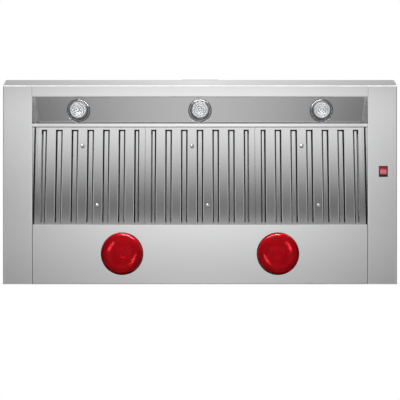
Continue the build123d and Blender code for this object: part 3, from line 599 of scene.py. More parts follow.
def box_of(points):
    """Lowest and highest corner round some points."""
    low = Vector([min(point[axis] for point in points) for axis in range(3)])
    high = Vector([max(point[axis] for point in points) for axis in range(3)])
    return low, high


def facing_down(points, slope=0.0):
    """Place on the axis of a round solid, level with its lowest point, with Z out of the hood."""
    normal = Vector((0.0, math.sin(slope), -math.cos(slope)))
    across = Vector((1.0, 0.0, 0.0))
    turn = Matrix((across, normal.cross(across), normal)).transposed()
    low, high = box_of([turn.transposed() @ point for point in points])
    middle = Vector(((low.x + high.x) / 2, (low.y + high.y) / 2, high.z))
    return Matrix.Translation(turn @ middle) @ turn.to_4x4()


def lean(shape, shift, start, end):
    """Lean a turned piece sideways, from nothing at one height to the whole shift at another."""
    for vertex in shape.verts:
        share = (vertex.co.z - start) / (end - start)
        vertex.co += Vector(shift) * min(max(share, 0.0), 1.0)


# Operators
class HOOD_OT_sheet_metal(bpy.types.Operator):
    """Give the hood's panels, filters and ductwork their finishes"""

    bl_idname = "hood.sheet_metal"
    bl_label = "Finish Sheet Metal"

    finishes = {
        "steel_x": (
            "front_panel",
            "rear_lamp_panel",
            "light_tray",
            "filter_front_rail",
            "back_panel",
            "top_panel",
            "grease_trough",
            "control_plate",
        ),
        "steel_y": ("left_rim", "right_rim", "left_side_panel", "right_side_panel"),
        "zinc": (
            "duct_collar",
            "rear_damper_flap",
            "front_damper_flap",
            "blower_housing",
            "junction_box",
            "junction_box_cover",
            "left_warming_can",
            "right_warming_can",
            "left_light_can",
            "centre_light_can",
            "right_light_can",
        ),
        "plated": ("damper_pin", "motor_shaft", "motor_bracket"),
        "wheel": ("blower_wheel",),
        "motor": ("blower_motor",),
        "black": ("lamp_transformer", "button_switch_block"),
        "ceramic": ("left_warming_socket", "right_warming_socket"),
    }

    def execute(self, context):
        for finish, names in self.finishes.items():
            for name in names:
                self.paint(name, finish)
        for side in SIDES:
            for part in ("frame", "front_baffles", "rear_baffles"):
                self.paint(f"{side}_filter_{part}", "filter")
        return {"FINISHED"}

    def paint(self, name, finish):
        """Put one material in every slot of a node."""
        node = NODES[name]
        if not node.material_slots:
            node.data.materials.append(None)
        for slot in node.material_slots:
            slot.material = MATERIALS[finish]


class HOOD_OT_warming_lamps(bpy.types.Operator):
    """Make the two red reflector lamps with their glass, mirror, stem, filament and screw base"""

    bl_idname = "hood.warming_lamps"
    bl_label = "Make Warming Lamps"

    outline = (
        (0.0, 0.0),
        (0.25, 0.0011),
        (0.5, 0.0044),
        (0.7, 0.0085),
        (0.82, 0.0122),
        (0.9, 0.0162),
        (0.955, 0.0205),
        (0.985, 0.0248),
        (1.0, 0.029),
        (0.99, 0.0365),
        (0.955, 0.047),
        (0.86, 0.066),
        (0.72, 0.085),
        (0.55, 0.101),
        (0.4, 0.1105),
        (0.31, 0.119),
        (0.27, 0.127),
    )
    mirror_start = 0.031
    stem = (
        (0.0, 0.046),
        (0.0035, 0.0462),
        (0.005, 0.049),
        (0.0062, 0.07),
        (0.011, 0.094),
        (0.0145, 0.112),
        (0.0, 0.112),
    )
    neck_height = 0.127
    mirror_inset = 0.002
    mirror_wall = 0.0008
    filament_radius = 0.0115
    filament_height = 0.0445
    filament_wire = 0.0009
    wire_radius = 0.0005
    wire_foot = 0.052
    base_radius = 0.0132
    base_length = 0.034
    thread_pitch = 0.0045
    thread_turns = 5

    def execute(self, context):
        sizes = context.scene.hood_fittings
        for side in LAMP_SIDES:
            node = f"{side}_warming_bulb"
            low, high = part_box(node)
            radius = (high.x - low.x) / 2
            place = Matrix.Translation(((low.x + high.x) / 2, (low.y + high.y) / 2, low.z))
            shift = (sizes.bulb_shift * (-1 if side == "left" else 1), sizes.bulb_shift, 0.0)
            self.make_glass(side, node, radius, sizes, place, shift)
            self.make_stem(side, node, sizes, place)
            self.make_base(side, node, high.z - low.z, sizes, place)
        return {"FINISHED"}

    def skin(self, radius, inset):
        """The bulb's outline, from its face to its neck, moved inwards by the inset."""
        made = []
        for share, height in self.outline:
            reach = max(share * radius - inset * min(share * 2, 1.0), 0.0)
            made.append((reach, height + inset * (1 - share)))
        return made

    def make_glass(self, side, node, radius, sizes, place, shift):
        """Blown shell, and the silvering on the inside of its taper."""
        steps = sizes.round_steps
        inner = self.skin(radius, sizes.bulb_glass)
        shell = closed_spin(self.skin(radius, 0.0) + list(reversed(inner)), steps)
        lean(shell, shift, self.neck_height, self.mirror_start)
        add_piece(f"{side}_warming_glass", shell, place, ("ruby",), node, (node,))
        silver = [point for point in self.skin(radius, self.mirror_inset) if point[1] > self.mirror_start]
        back = [(reach - self.mirror_wall, height) for reach, height in reversed(silver)]
        cup = closed_spin(silver + back + [silver[0]], steps)
        lean(cup, shift, self.neck_height, self.mirror_start)
        add_piece(f"{side}_warming_mirror", cup, place, ("silvering",), node, ())

    def make_stem(self, side, node, sizes, place):
        """Glass stem that carries the filament's ring on two wires."""
        shape = closed_spin(self.stem, sizes.round_steps // 2)
        add_piece(f"{side}_warming_stem", shape, place, ("filament",), node, ())
        ring = arc((self.filament_radius, self.filament_height), self.filament_wire, 0, 360, 10)
        coil = closed_spin(ring, sizes.round_steps // 2)
        for reach in (self.filament_radius, -self.filament_radius):
            foot = Vector((0.0, 0.0, self.wire_foot))
            tip = Vector((reach, 0.0, self.filament_height + 0.0002))
            tilt = (tip - foot).to_track_quat("Z", "Y").to_matrix().to_4x4()
            bmesh.ops.create_cone(
                coil,
                cap_ends=True,
                segments=8,
                radius1=self.wire_radius,
                radius2=self.wire_radius,
                depth=(tip - foot).length,
                matrix=Matrix.Translation((foot + tip) / 2) @ tilt,
            )
        add_piece(f"{side}_warming_filament", coil, place, ("filament",), node, ())

    def make_base(self, side, node, length, sizes, place):
        """Screw base with its rolled thread and the tip contact."""
        radius = self.base_radius
        low = length - self.base_length
        profile = [(0.0, low - 0.001), (radius + 0.002, low - 0.001)]
        for turn in range(self.thread_turns):
            crest = low + 0.002 + (turn + 0.5) * self.thread_pitch
            profile += arc((radius - 0.0008, crest), 0.0013, -80, 80, 5)
        profile += [(radius - 0.0012, length - 0.006), (0.008, length - 0.0018)]
        profile += [(0.0045, length - 0.0005), (0.0, length - 0.0001)]
        shape = closed_spin(profile, sizes.round_steps)
        add_piece(f"{side}_warming_base", shape, place, ("brass",), node, ())


class HOOD_OT_small_lights(bpy.types.Operator):
    """Make the three recessed lights with their trim, ringed lens, reflector, capsule and clip"""

    bl_idname = "hood.small_lights"
    bl_label = "Make Small Lights"

    lip_width = 0.0038
    lip_rise = 0.0026
    lip_outer_round = 0.0004
    lip_inner_round = 0.0021
    cone_end = 0.0259
    cone_depth = 0.0116
    cone_grooves = 3
    lens_radius = 0.0256
    lens_wall = 0.0016
    ring_round = 0.002
    bowl_steps = 8
    bowl_depth = 0.011
    bowl_narrowing = 0.0165
    capsule_radius = 0.0042
    capsule_end = 0.0105
    clip_wire = 0.0005
    clip_ball = 0.0012
    clip_opening = 26

    def execute(self, context):
        sizes = context.scene.hood_fittings
        for side, outwards in zip(SIDES, (-1, 0, 1)):
            ring = f"{side}_light_ring"
            low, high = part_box(ring)
            place = facing_down(node_points(ring), sizes.tray_slope)
            shift = outwards * sizes.lens_shift
            self.make_trim(side, ring, (high.x - low.x) / 2, sizes, place, shift)
            self.make_lens(side, sizes, place, shift)
            self.make_lamp(side, sizes, place, shift)
            self.make_clip(side, place, shift)
        return {"FINISHED"}

    def make_trim(self, side, ring, radius, sizes, place, shift):
        """Rolled lip of chrome darkened all over as painted shade, and the grooved cone that steps in to the
        lens.
        """
        inner = radius - self.lip_width
        bottom = -self.lip_rise
        outer, round_in = self.lip_outer_round, self.lip_inner_round
        lip = [(radius, bottom), (radius, -0.0008)]
        lip += arc((radius - outer, -outer), outer, 0, 90, 4)
        lip += arc((inner + round_in, -round_in), round_in, 90, 180, 10)
        lip_end, lip_height = lip[-1]
        cone = []
        for index in range(self.cone_grooves):
            share = (index + 0.6) / self.cone_grooves
            reach = inner - (inner - self.cone_end) * share
            height = lip_height - (self.cone_depth + lip_height) * share
            cone += [(reach + 0.0009, height + 0.0004), (reach + 0.0002, height - 0.0006)]
        cone += [(self.cone_end, -self.cone_depth), (self.cone_end + 0.0009, -self.cone_depth)]
        cone += [(inner + 0.0002, bottom), (radius, bottom)]
        shape = closed_spin(lip + cone, sizes.round_steps)
        for face in shape.faces:
            centre = face.calc_center_median()
            on_lip = lip_end - 1e-5 < math.hypot(centre.x, centre.y) < radius - 0.0006
            face.material_index = 0 if on_lip else 1
        lean(shape, (shift, 0.0, 0.0), bottom, -self.cone_depth)
        add_piece(f"{side}_light_trim", shape, place, ("lip", "cone"), ring, (ring,), 25.0)

    def make_lens(self, side, sizes, place, shift):
        """Cover lens with raised rings and a domed middle, its grooves painted darker as shade."""
        front = -self.cone_depth - 0.0001
        back = front - self.lens_wall
        step = self.lens_radius / (sizes.lens_steps + 0.7)
        valley = front - 0.0006
        profile = [(0.0, back), (self.lens_radius, back), (self.lens_radius, front)]
        for index in range(sizes.lens_steps, 0, -1):
            crest = step * (index + 0.2)
            profile += [(crest + step * 0.45, valley)]
            profile += arc((crest, front - 0.0012), self.ring_round, 20, 160, 8)
            profile += [(crest - step * 0.45, valley)]
        profile += arc((0.0, front - 0.0045), 0.0058, 52, 90, 6)[:-1] + [(0.0, front + 0.0013)]
        lens = closed_spin(profile, sizes.round_steps)
        # Faces in the grooves between the rings take the darker glass, a painted shade
        for face in lens.faces:
            centre = face.calc_center_median()
            past_crest = (math.hypot(centre.x, centre.y) / step - 0.2) % 1.0
            in_groove = centre.z > back + 0.0002 and 0.3 < past_crest < 0.7
            face.material_index = 1 if in_groove else 0
        bmesh.ops.translate(lens, vec=(shift, 0.0, 0.0), verts=lens.verts)
        node = f"{side}_light_lamp"
        add_piece(f"{side}_light_lens", lens, place, ("lens", "painted_shade_groove"), node, (node,), 40.0)

    def make_lamp(self, side, sizes, place, shift):
        """Faceted mirror bowl, the halogen capsule in it and the ceramic base behind."""
        node = f"{side}_light_lamp"
        top = -self.cone_depth - self.lens_wall - 0.0005
        rim = self.lens_radius - 0.0003
        bowl = []
        for index in range(self.bowl_steps + 1):
            share = index / self.bowl_steps
            bowl.append((rim - self.bowl_narrowing * share**1.8, top - self.bowl_depth * share**0.8))
        skin = [(reach + 0.0007, height - 0.0003) for reach, height in reversed(bowl)]
        mirror = closed_spin(bowl + skin + [bowl[0]], sizes.reflector_facets)
        radius, end = self.capsule_radius, top - self.capsule_end
        capsule = arc((0.0, top - 0.0052), radius, 90, 0, 8) + [(radius, end), (0.0, end)]
        bulb = closed_spin(capsule, 24)
        base = [(0.0, -0.037), (0.0078, -0.037), (0.0084, -0.0376), (0.0084, -0.0526), (0.0, -0.0528)]
        plug = closed_spin(base, 32)
        for shape in (mirror, bulb, plug):
            bmesh.ops.translate(shape, vec=(shift, 0.0, 0.0), verts=shape.verts)
        add_piece(f"{side}_light_reflector", mirror, place, ("reflector",), node, (), 3.0)
        add_piece(f"{side}_light_capsule", bulb, place, ("ceramic",), node, ())
        add_piece(f"{side}_light_plug", plug, place, ("ceramic",), node, ())

    def make_clip(self, side, place, shift):
        """Wire spring that holds the lens, with a small ball at each of its two ends on the wall side."""
        wire = bmesh.new()
        reach = self.cone_end - 0.0006
        ends = (-90 + self.clip_opening / 2, 270 - self.clip_opening / 2)
        made = bmesh.ops.create_circle(wire, cap_ends=True, segments=10, radius=self.clip_wire)["verts"]
        turn = Matrix.Rotation(math.radians(ends[0]), 4, "Z") @ Matrix.Translation((reach, 0.0, 0.0))
        bmesh.ops.transform(wire, matrix=turn @ Matrix.Rotation(math.pi / 2, 4, "X"), verts=made)
        bmesh.ops.spin(
            wire,
            geom=wire.faces[:],
            cent=(0.0, 0.0, 0.0),
            axis=(0.0, 0.0, 1.0),
            angle=math.radians(ends[1] - ends[0]),
            steps=72,
        )
        bmesh.ops.recalc_face_normals(wire, faces=wire.faces)
        for x, y in (arc((0.0, 0.0), reach, end, end, 1)[0] for end in ends):
            spot = Matrix.Translation((x, y, 0.0004))
            bmesh.ops.create_icosphere(wire, subdivisions=2, radius=self.clip_ball, matrix=spot)
        bmesh.ops.translate(wire, vec=(shift, 0.0, 0.0005 - self.cone_depth), verts=wire.verts)
        ring = f"{side}_light_ring"
        add_piece(f"{side}_light_clip", wire, place, ("chrome",), ring, (), 60.0)


class HOOD_OT_pull_studs(bpy.types.Operator):
    """Make the domed pull studs of the filters"""

    bl_idname = "hood.pull_studs"
    bl_label = "Make Pull Studs"

    head_radius = 0.006
    head_height = 0.003
    length = 0.0104

    def execute(self, context):
        sizes = context.scene.hood_fittings
        for side in SIDES:
            node = f"{side}_filter_pulls"
            for number, points in enumerate(clusters(node, 0.05)):
                place = facing_down(points, -sizes.filter_slope)
                shape = closed_spin(self.outline(), sizes.round_steps // 2)
                named = () if number else (node,)
                name = f"{side}_pull_stud_{number + 1}"
                add_piece(name, shape, place, ("stud",), node, named, 30.0)
        return {"FINISHED"}

    def outline(self):
        """Dome, rolled brim, waist and rivet of a stud, from the middle of its head."""
        steps = 8
        profile = []
        for index in range(steps + 1):
            turn = math.pi / 2 * index / steps
            reach = self.head_radius * math.sin(turn)
            profile.append((reach, self.head_height * (math.cos(turn) - 1)))
        profile += [(0.0058, -0.0035), (0.0052, -0.0038), (0.0039, -0.0041), (0.0035, -0.0046)]
        profile += [(0.0035, -0.008), (0.0025, -0.008), (0.0025, -0.0088), (0.0042, -0.0088)]
        profile += [(0.0041, -0.0097), (0.003, -0.0102), (0.0, -self.length)]
        return profile


class HOOD_OT_rocker_switch(bpy.types.Operator):
    """Make the red rocker and the black bezel that it tips in"""

    bl_idname = "hood.rocker_switch"
    bl_label = "Make Rocker Switch"

    flange = 0.002
    corner = 0.002
    edge = 0.0007
    body_inset = 0.0021
    rocker_sides = 0.0037
    rocker_ends = 0.0040
    well_depth = 0.0158
    body_end = 0.008
    blade = (0.0063, 0.0008, 0.0078)
    blade_pitch = 0.009
    paddle_radius = 0.01315
    paddle_tilt = -8.0
    face_height = -0.0066
    face_dish = 0.0022
    top_height = 0.004
    trunnion_length = 0.00135
    trunnion_radius = 0.0015

    def execute(self, context):
        self.make_bezel()
        self.make_rocker()
        return {"FINISHED"}

    def make_bezel(self):
        """Flange with round corners and a chamfered well, on the body that snaps into the rim."""
        node = "switch_bezel"
        low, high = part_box(node)
        middle = (low + high) / 2
        body_top = high.z - self.body_end
        width, length = high.x - low.x, high.y - low.y
        shape = bmesh.new()
        outline = self.rounded(width / 2, length / 2, self.corner)
        inside = self.rounded(width / 2 - self.rocker_sides, length / 2 - self.rocker_ends, 0.0006)
        body = self.rounded(width / 2 - self.body_inset, length / 2 - self.body_inset, 0.0005)
        rings = [
            (body, self.flange),
            (outline, self.flange),
            (outline, self.edge),
            (self.shrunk(outline, self.edge * 0.3), self.edge * 0.3),
            (self.shrunk(outline, self.edge), 0.0),
            (self.shrunk(inside, -0.0005), 0.0),
            (inside, 0.0005),
            (inside, self.well_depth),
        ]
        loops = [self.loop(shape, points, middle, low.z + height) for points, height in rings]
        top = self.loop(shape, body, middle, body_top)
        for first, second in zip([top] + loops[:-1], loops):
            self.bridge(shape, first, second)
        shape.faces.new(top)
        shape.faces.new(loops[-1])
        bmesh.ops.recalc_face_normals(shape, faces=shape.faces)
        for offset in (-1, 0, 1):
            blade = bmesh.ops.create_cube(shape, size=1.0)["verts"]
            size = Matrix.Diagonal((*self.blade, 1.0))
            at = Matrix.Translation((middle.x, middle.y + offset * self.blade_pitch, body_top + 0.004))
            bmesh.ops.transform(shape, matrix=at @ size, verts=blade)
        place = Matrix.Identity(4)
        add_piece("switch_surround", shape, place, ("black",), node, (node,), 40.0)

    def make_rocker(self):
        """Dished paddle with rounded ends, tipped to its off side, on two trunnions."""
        node = "switch_rocker"
        points = node_points(node)
        low, high = box_of(points)
        trunnions = [point for point in points if point.x > high.x - 1e-5]
        axis_low, axis_high = box_of(trunnions)
        pivot = (axis_low + axis_high) / 2
        half = (high.x - low.x) / 2 - self.trunnion_length
        radius = self.paddle_radius
        reach = math.sqrt(radius**2 - self.face_height**2)
        face = []
        steps = 24
        for index in range(steps + 1):
            share = 2 * index / steps - 1
            face.append((share * reach, self.face_height + self.face_dish * (1 - share * share)))
        end = math.degrees(math.atan2(self.face_height, reach))
        tip = math.degrees(math.asin(self.top_height / radius))
        side = arc((0.0, 0.0), radius, end, tip, 8)[1:]
        mirrored = [(-y, z) for y, z in reversed(side)]
        outline = face + side + mirrored
        centre_x = (low.x + high.x) / 2
        shape = bmesh.new()
        turned = Matrix.Rotation(math.radians(self.paddle_tilt), 4, "X")
        corners = []
        for x in (-half, half):
            corners.append([shape.verts.new(turned @ Vector((x, y, z))) for y, z in outline])
        ends = [shape.faces.new(loop) for loop in corners]
        self.bridge(shape, corners[0], corners[1])
        bmesh.ops.recalc_face_normals(shape, faces=shape.faces)
        rim = {edge for side_face in ends for edge in side_face.edges}
        bmesh.ops.bevel(
            shape,
            geom=list(rim),
            offset=0.0006,
            affect="EDGES",
            segments=3,
            profile=0.5,
            material=-1,
        )
        pin = Matrix.Rotation(math.pi / 2, 4, "Y")
        bmesh.ops.create_cone(
            shape,
            cap_ends=True,
            segments=24,
            radius1=self.trunnion_radius,
            radius2=self.trunnion_radius,
            depth=high.x - low.x - 0.0002,
            matrix=pin,
        )
        place = Matrix.Translation((centre_x, pivot.y, pivot.z))
        add_piece("rocker_paddle", shape, place, ("rocker",), node, (node,), 40.0)

    def rounded(self, half_x, half_y, radius):
        """Outline of a rectangle with round corners."""
        points = []
        for x_side, y_side, start in ((1, 1, 0), (-1, 1, 90), (-1, -1, 180), (1, -1, 270)):
            centre = (x_side * (half_x - radius), y_side * (half_y - radius))
            points += arc(centre, radius, start, start + 90, 5)
        return points

    def shrunk(self, outline, inset):
        """Outline drawn in by the same amount on each side."""
        half_x = max(x for x, y in outline)
        half_y = max(y for x, y in outline)
        return [(x * (half_x - inset) / half_x, y * (half_y - inset) / half_y) for x, y in outline]

    def loop(self, shape, outline, middle, height):
        """Vertices of an outline at one height."""
        return [shape.verts.new((middle.x + x, middle.y + y, height)) for x, y in outline]

    def bridge(self, shape, first, second):
        """Faces between two loops of as many points."""
        count = len(first)
        for index in range(count):
            after = (index + 1) % count
            shape.faces.new((first[index], first[after], second[after], second[index]))


class HOOD_OT_push_buttons(bpy.types.Operator):
    """Make the four push buttons with their dished caps"""

    bl_idname = "hood.push_buttons"
    bl_label = "Make Push Buttons"

    cap_radius = 0.008
    cap_length = 0.011
    stem_radius = 0.003
    dish = 0.0006
    edge_round = 0.0006
    dish_shape = ((0.0, 1.0), (0.35, 0.88), (0.62, 0.6), (0.86, 1 / 6))

    def execute(self, context):
        sizes = context.scene.hood_fittings
        for name in ("light", "fan_off", "fan_low", "fan_high"):
            node = f"{name}_button"
            low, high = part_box(node)
            length = high.y - low.y
            radius = self.cap_radius
            profile = [(radius * part, -self.dish * deep) for part, deep in self.dish_shape]
            edge = self.edge_round
            profile += arc((radius - edge, -edge), edge, 90, 0, 5)
            profile += [(radius, -self.cap_length), (self.stem_radius, -self.cap_length)]
            profile += [(self.stem_radius, -length), (0.0, -length)]
            shape = closed_spin(profile, sizes.round_steps)
            turn = Matrix.Rotation(math.pi / 2, 4, "X")
            place = Matrix.Translation(((low.x + high.x) / 2, low.y, (low.z + high.z) / 2)) @ turn
            add_piece(f"{name}_cap", shape, place, ("satin",), node, (node,), 30.0)
        return {"FINISHED"}


class HOOD_OT_screws(bpy.types.Operator):
    """Make the pan head screws on the top with their cross recesses"""

    bl_idname = "hood.screws"
    bl_label = "Make Screws"

    head_radius = 0.004
    head_height = 0.0022
    flat_radius = 0.0026
    shank_radius = 0.0019
    length = 0.0102
    slot_reach = 0.002
    slot_half = 0.00042
    slot_depth = 0.0011

    def execute(self, context):
        node = "sheet_metal_screws"
        for number, points in enumerate(clusters(node, 0.03)):
            low, high = box_of(points)
            shape = self.make_head()
            turn = Matrix.Rotation(number * 1.3, 4, "Z")
            place = Matrix.Translation(((low.x + high.x) / 2, (low.y + high.y) / 2, high.z)) @ turn
            named = () if number else (node,)
            add_piece(f"pan_head_screw_{number + 1}", shape, place, ("plated",), node, named, 30.0)
        return {"FINISHED"}

    def make_head(self):
        """Domed head with a tapered cross pressed into it, on its shank."""
        steps = 48
        flat = self.flat_radius
        profile = [(flat, 0.0), (self.head_radius * 0.84, -0.0004), (self.head_radius * 0.97, -0.0012)]
        profile += [(self.head_radius, -self.head_height), (self.shank_radius, -self.head_height)]
        profile += [(self.shank_radius, -self.length + 0.0015), (0.0, -self.length)]
        shape = closed_spin(profile, steps)
        rim = [edge for edge in shape.edges if edge.is_boundary]
        a, b = self.slot_half, self.slot_reach
        cross = [(b, -a), (b, a), (a, a), (a, b), (-a, b), (-a, a)]
        cross += [(-x, -y) for x, y in cross]
        mouth = [shape.verts.new((x, y, 0.0)) for x, y in cross]
        inner = [shape.edges.new((mouth[i], mouth[(i + 1) % 12])) for i in range(12)]
        bmesh.ops.triangle_fill(shape, use_beauty=True, edges=rim + inner, normal=(0.0, 0.0, 1.0))
        floor = [shape.verts.new((v.co.x * 0.8, v.co.y * 0.8, -self.slot_depth)) for v in mouth]
        for i in range(12):
            after = (i + 1) % 12
            shape.faces.new((mouth[i], mouth[after], floor[after], floor[i]))
        shape.faces.new(floor)
        bmesh.ops.recalc_face_normals(shape, faces=shape.faces)
        return shape


class HOOD_OT_stage(bpy.types.Operator):
    """Set up the camera, the floor, the world and the lights"""

    bl_idname = "hood.stage"
    bl_label = "Set Stage"

    # Stops over the lower card's depth: its brightness, and how far to the sides it fades to a third
    levels = (
        (-1.5, 1.3),
        (-1.36, 1.24),
        (-1.24, 0.92),
        (-1.14, 0.57),
        (-1.04, 0.28),
        (-0.95, 0.08),
        (-0.9, 0.26),
        (-0.84, 1.0),
        (-0.79, 1.38),
        (-0.66, 1.52),
        (-0.5, 1.38),
        (-0.3, 1.25),
        (-0.13, 1.15),
        (0.0, 0.9),
        (0.12, 0.74),
        (0.65, 0.74),
        (1.3, 0.7),
    )
    widths = (
        (-1.5, 2.4),
        (-0.95, 2.0),
        (-0.8, 1.42),
        (-0.6, 1.3),
        (-0.2, 1.1),
        (0.0, 1.3),
        (0.15, 1.3),
        (0.65, 0.76),
        (1.3, 0.7),
    )
    sky_reach = 0.9
    sky_level = 1.03
    sky_y = -1.5
    sky_rise = 1.25
    sky_tilt = 37.0
    ambient = 0.55
    floor_gap = 0.002
    soft_lights = (
        ("Key", (-2.2, -1.6, 2.6), (1.4, 1.4), 45.0),
        ("Fill", (2.6, -0.6, 1.6), (1.6, 1.6), 22.0),
        ("Back", (0.6, 2.4, 1.8), (1.6, 1.2), 25.0),
    )

    def execute(self, context):
        studio = context.scene.hood_studio
        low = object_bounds()[0]
        rim_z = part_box("front_panel")[0].z
        self.make_camera(context, studio, rim_z)
        self.make_floor(low.z - self.floor_gap)
        self.make_card(studio, rim_z)
        self.make_sky(studio, rim_z)
        self.make_world(context)
        self.make_lights(studio, rim_z)
        context.scene.view_settings.view_transform = "Standard"
        return {"FINISHED"}

    def make_camera(self, context, studio, rim_z):
        """Camera below the hood, looking straight up."""
        data = bpy.data.cameras.new("Camera")
        data.lens = studio.camera_lens
        data.sensor_width = 36.0
        data.clip_end = 100.0
        camera = bpy.data.objects.new("Camera", data)
        camera.location = (0.0, -studio.camera_y, rim_z - studio.camera_height)
        camera.rotation_euler = (math.pi, 0.0, 0.0)
        context.scene.collection.objects.link(camera)
        context.scene.camera = camera

    def empty_material(self, name):
        """Material without its Principled BSDF, for the floor and the cards."""
        material = bpy.data.materials.new(name)
        material.use_nodes = True
        tree = material.node_tree
        tree.nodes.remove(tree.nodes["Principled BSDF"])
        return material, tree, tree.nodes["Material Output"].inputs["Surface"]

    def add_sheet(self, name, shape, material):
        """Put a flat sheet of the stage in the scene."""
        mesh = bpy.data.meshes.new(name)
        shape.to_mesh(mesh)
        shape.free()
        mesh.materials.append(material)
        sheet = bpy.data.objects.new(name, mesh)
        bpy.context.scene.collection.objects.link(sheet)
        sheet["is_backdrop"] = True
        return sheet

    def make_floor(self, height):
        """Pale floor that shows from above, and lets the lower lights and an upward view through."""
        shape = bmesh.new()
        bmesh.ops.create_grid(shape, x_segments=1, y_segments=1, size=30.0)
        bmesh.ops.translate(shape, verts=shape.verts, vec=(0.0, 0.0, height))
        material, tree, surface = self.empty_material("Pale floor")
        seen = add(tree, "ShaderNodeLightPath").outputs["Is Camera Ray"]
        behind = add(tree, "ShaderNodeNewGeometry").outputs["Backfacing"]
        front = combine(tree, "SUBTRACT", 1.0, behind)
        shown = combine(tree, "MULTIPLY", seen, front)
        place = add(tree, "ShaderNodeTexCoord").outputs["Object"]
        noise = add(tree, "ShaderNodeTexNoise", None, {"Vector": place, "Scale": 3.0}).outputs["Fac"]
        tone = blend_colours(tree, noise, (0.85, 0.85, 0.85, 1.0), (0.87, 0.87, 0.87, 1.0))
        pale = add(tree, "ShaderNodeBsdfDiffuse", None, {"Color": tone})
        clear = add(tree, "ShaderNodeBsdfTransparent")
        inputs = {"Fac": shown, 1: clear.outputs[0], 2: pale.outputs[0]}
        tree.links.new(add(tree, "ShaderNodeMixShader", None, inputs).outputs[0], surface)
        self.add_sheet("floor", shape, material)

    def make_card(self, studio, rim_z):
        """Softly lit card far below the hood, which only reflections show."""
        front, back = studio.card_front, studio.card_back
        half_width = studio.card_width / 2
        shape = bmesh.new()
        corners = ((-half_width, front), (half_width, front), (half_width, back), (-half_width, back))
        shape.faces.new([shape.verts.new((x, y, 0.0)) for x, y in corners])
        material, tree, surface = self.empty_material("Reflection card")
        place = add(tree, "ShaderNodeTexCoord").outputs["Object"]
        split = add(tree, "ShaderNodeSeparateXYZ", None, {0: place})
        depth = split.outputs["Y"]
        width = ramp_along(tree, depth, front, back, self.widths)
        across = combine(tree, "DIVIDE", split.outputs["X"], width)
        square = combine(tree, "MULTIPLY", combine(tree, "MULTIPLY", across, across), -1.0)
        level = ramp_along(tree, depth, front, back, self.levels)
        strength = combine(tree, "MULTIPLY", combine(tree, "EXPONENT", square, 0.0), level)
        self.make_glow(tree, surface, strength)
        card = self.add_sheet("reflection_card", shape, material)
        self.hang(card, (0.0, 0.0, rim_z - studio.card_drop))

    def make_sky(self, studio, rim_z):
        """Card up in front, dimmer to its ends, that only the front panel's reflection shows."""
        shape = bmesh.new()
        bmesh.ops.create_grid(shape, x_segments=1, y_segments=1, size=self.sky_reach)
        material, tree, surface = self.empty_material("Sky card")
        place = add(tree, "ShaderNodeTexCoord").outputs["Object"]
        across = add(tree, "ShaderNodeSeparateXYZ", None, {0: place}).outputs["X"]
        dimmed = combine(tree, "MULTIPLY", combine(tree, "ABSOLUTE", across, 0.0), studio.sky_fading)
        self.make_glow(tree, surface, combine(tree, "SUBTRACT", self.sky_level, dimmed))
        card = self.add_sheet("sky_card", shape, material)
        self.hang(card, (0.0, self.sky_y, rim_z + self.sky_rise), self.sky_tilt)

    def make_glow(self, tree, surface, strength):
        """Let a card shine."""
        emission = add(tree, "ShaderNodeEmission", None, {"Strength": strength})
        tree.links.new(emission.outputs[0], surface)

    def hang(self, card, place, tilt=0.0):
        """Place a card that only reflections show, tilted by an angle in degrees."""
        card.location = place
        card.rotation_euler = (math.radians(tilt), 0.0, 0.0)
        card.visible_camera = False
        card.visible_diffuse = False
        card.visible_shadow = False

    def make_world(self, context):
        """White to the camera, and in metal and glass, and a soft level of light."""
        world = bpy.data.worlds.new("Studio")
        world.use_nodes = True
        context.scene.world = world
        tree = world.node_tree
        paths = add(tree, "ShaderNodeLightPath").outputs
        seen = combine(tree, "MAXIMUM", paths["Is Camera Ray"], paths["Is Transmission Ray"])
        seen = combine(tree, "MAXIMUM", seen, paths["Is Glossy Ray"])
        background = tree.nodes["Background"]
        background.inputs["Color"].default_value = (1.0, 1.0, 1.0, 1.0)
        tree.links.new(remap(tree, seen, self.ambient, 1.0), background.inputs["Strength"])

    def make_lights(self, studio, rim_z):
        """Three soft lights above, and small ones that draw the glints of the polished pieces."""
        middle = Vector((0.0, -0.3, rim_z))
        for name, place, size, power in self.soft_lights:
            self.make_light(name, place, middle, size, power)
        place = (0.0, -1.6, rim_z - 0.35)
        self.make_light("Front", place, middle, (2.0, 0.3), studio.front_light, [NODES["front_panel"]])
        for side, outwards in zip(SIDES, (-1, 0, 1)):
            low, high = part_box(f"{side}_filter_pulls")
            pulls = (low + high) / 2
            studs = [bpy.data.objects[f"{side}_pull_stud_{number}"] for number in (1, 2)]
            before = pulls + Vector((-0.4, -1.15, -0.55))
            self.make_light(f"Studs {side}", before, pulls, (0.6, 0.6), studio.stud_light, studs)
            low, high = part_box(f"{side}_light_ring")
            trim = (low + high) / 2
            ring = [bpy.data.objects[f"{side}_light_trim"]]
            behind = trim + Vector((outwards * 0.53, 1.09, -0.47))
            self.make_light(f"Trim {side}", behind, trim, (0.9, 0.7), studio.trim_light, ring)
            lens = [bpy.data.objects[f"{side}_light_{part}"] for part in ("lens", "reflector", "capsule")]
            below = trim + Vector((outwards * 0.1, 0.1, -1.0))
            self.make_light(f"Lens {side}", below, trim, (0.6, 0.6), studio.lens_light, lens)
        for side, outwards in zip(LAMP_SIDES, (-1, 1)):
            low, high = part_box(f"{side}_warming_bulb")
            lamp = Vector(((low.x + high.x) / 2, (low.y + high.y) / 2, low.z))
            glass = [bpy.data.objects[f"{side}_warming_{part}"] for part in ("glass", "mirror", "stem")]
            outer = lamp + Vector((outwards * 0.94, -0.54, -1.2))
            inner = lamp + Vector((outwards * -0.75, 0.43, -0.95))
            front = lamp + Vector((outwards * -0.35, -1.3, 0.4))
            self.make_light(f"Outer glint {side}", outer, lamp, (0.9, 0.28), studio.outer_glint, glass)
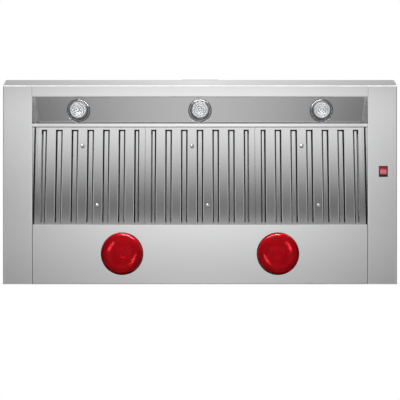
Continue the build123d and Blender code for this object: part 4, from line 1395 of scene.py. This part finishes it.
            self.make_light(f"Inner glint {side}", inner, lamp, (0.7, 0.2), studio.inner_glint, glass)
            self.make_light(f"Rim glint {side}", front, lamp, (1.0, 0.3), studio.rim_light, glass)

    def make_light(self, name, place, target, size, power, only=()):
        """Area light turned to a target, that may be kept to some pieces."""
        data = bpy.data.lights.new(name, "AREA")
        data.shape = "RECTANGLE"
        data.size, data.size_y = size
        data.energy = power * bpy.context.scene.hood_studio.light_level
        light = bpy.data.objects.new(name, data)
        light.location = place
        light.rotation_euler = (target - Vector(place)).to_track_quat("-Z", "Y").to_euler()
        light.visible_camera = False
        bpy.context.scene.collection.objects.link(light)
        if only:
            lit = bpy.data.collections.new(name)
            for piece in only:
                lit.objects.link(piece)
            light.light_linking.receiver_collection = lit
            light.light_linking.blocker_collection = lit


class HOOD_PT_finish(bpy.types.Panel):
    """Sidebar panel with the hood's settings and steps"""

    bl_idname = "HOOD_PT_finish"
    bl_label = "Range Hood"
    bl_space_type = "VIEW_3D"
    bl_region_type = "UI"
    bl_category = "Range Hood"

    def draw(self, context):
        layout = self.layout
        for settings in (
            context.scene.hood_finishes,
            context.scene.hood_fittings,
            context.scene.hood_studio,
        ):
            box = layout.box()
            for name in settings.__annotations__:
                box.prop(settings, name)
        for operator in OPERATORS:
            layout.operator(operator.bl_idname)


OPERATORS = (
    HOOD_OT_sheet_metal,
    HOOD_OT_warming_lamps,
    HOOD_OT_small_lights,
    HOOD_OT_pull_studs,
    HOOD_OT_rocker_switch,
    HOOD_OT_push_buttons,
    HOOD_OT_screws,
    HOOD_OT_stage,
)
CLASSES = (HoodFinishes, HoodFittings, HoodStudio) + OPERATORS + (HOOD_PT_finish,)


def register():
    """Add the classes and the three groups of settings."""
    for item in CLASSES:
        bpy.utils.register_class(item)
    bpy.types.Scene.hood_finishes = PointerProperty(type=HoodFinishes)
    bpy.types.Scene.hood_fittings = PointerProperty(type=HoodFittings)
    bpy.types.Scene.hood_studio = PointerProperty(type=HoodStudio)


def unregister():
    """Take the settings and the classes away again."""
    del bpy.types.Scene.hood_studio
    del bpy.types.Scene.hood_fittings
    del bpy.types.Scene.hood_finishes
    for item in reversed(CLASSES):
        bpy.utils.unregister_class(item)


def main():
    """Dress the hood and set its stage."""
    register()
    make_materials()
    bpy.ops.hood.sheet_metal()
    bpy.ops.hood.warming_lamps()
    bpy.ops.hood.small_lights()
    bpy.ops.hood.pull_studs()
    bpy.ops.hood.rocker_switch()
    bpy.ops.hood.push_buttons()
    bpy.ops.hood.screws()
    bpy.ops.hood.stage()


if __name__ == "__main__":
    main()
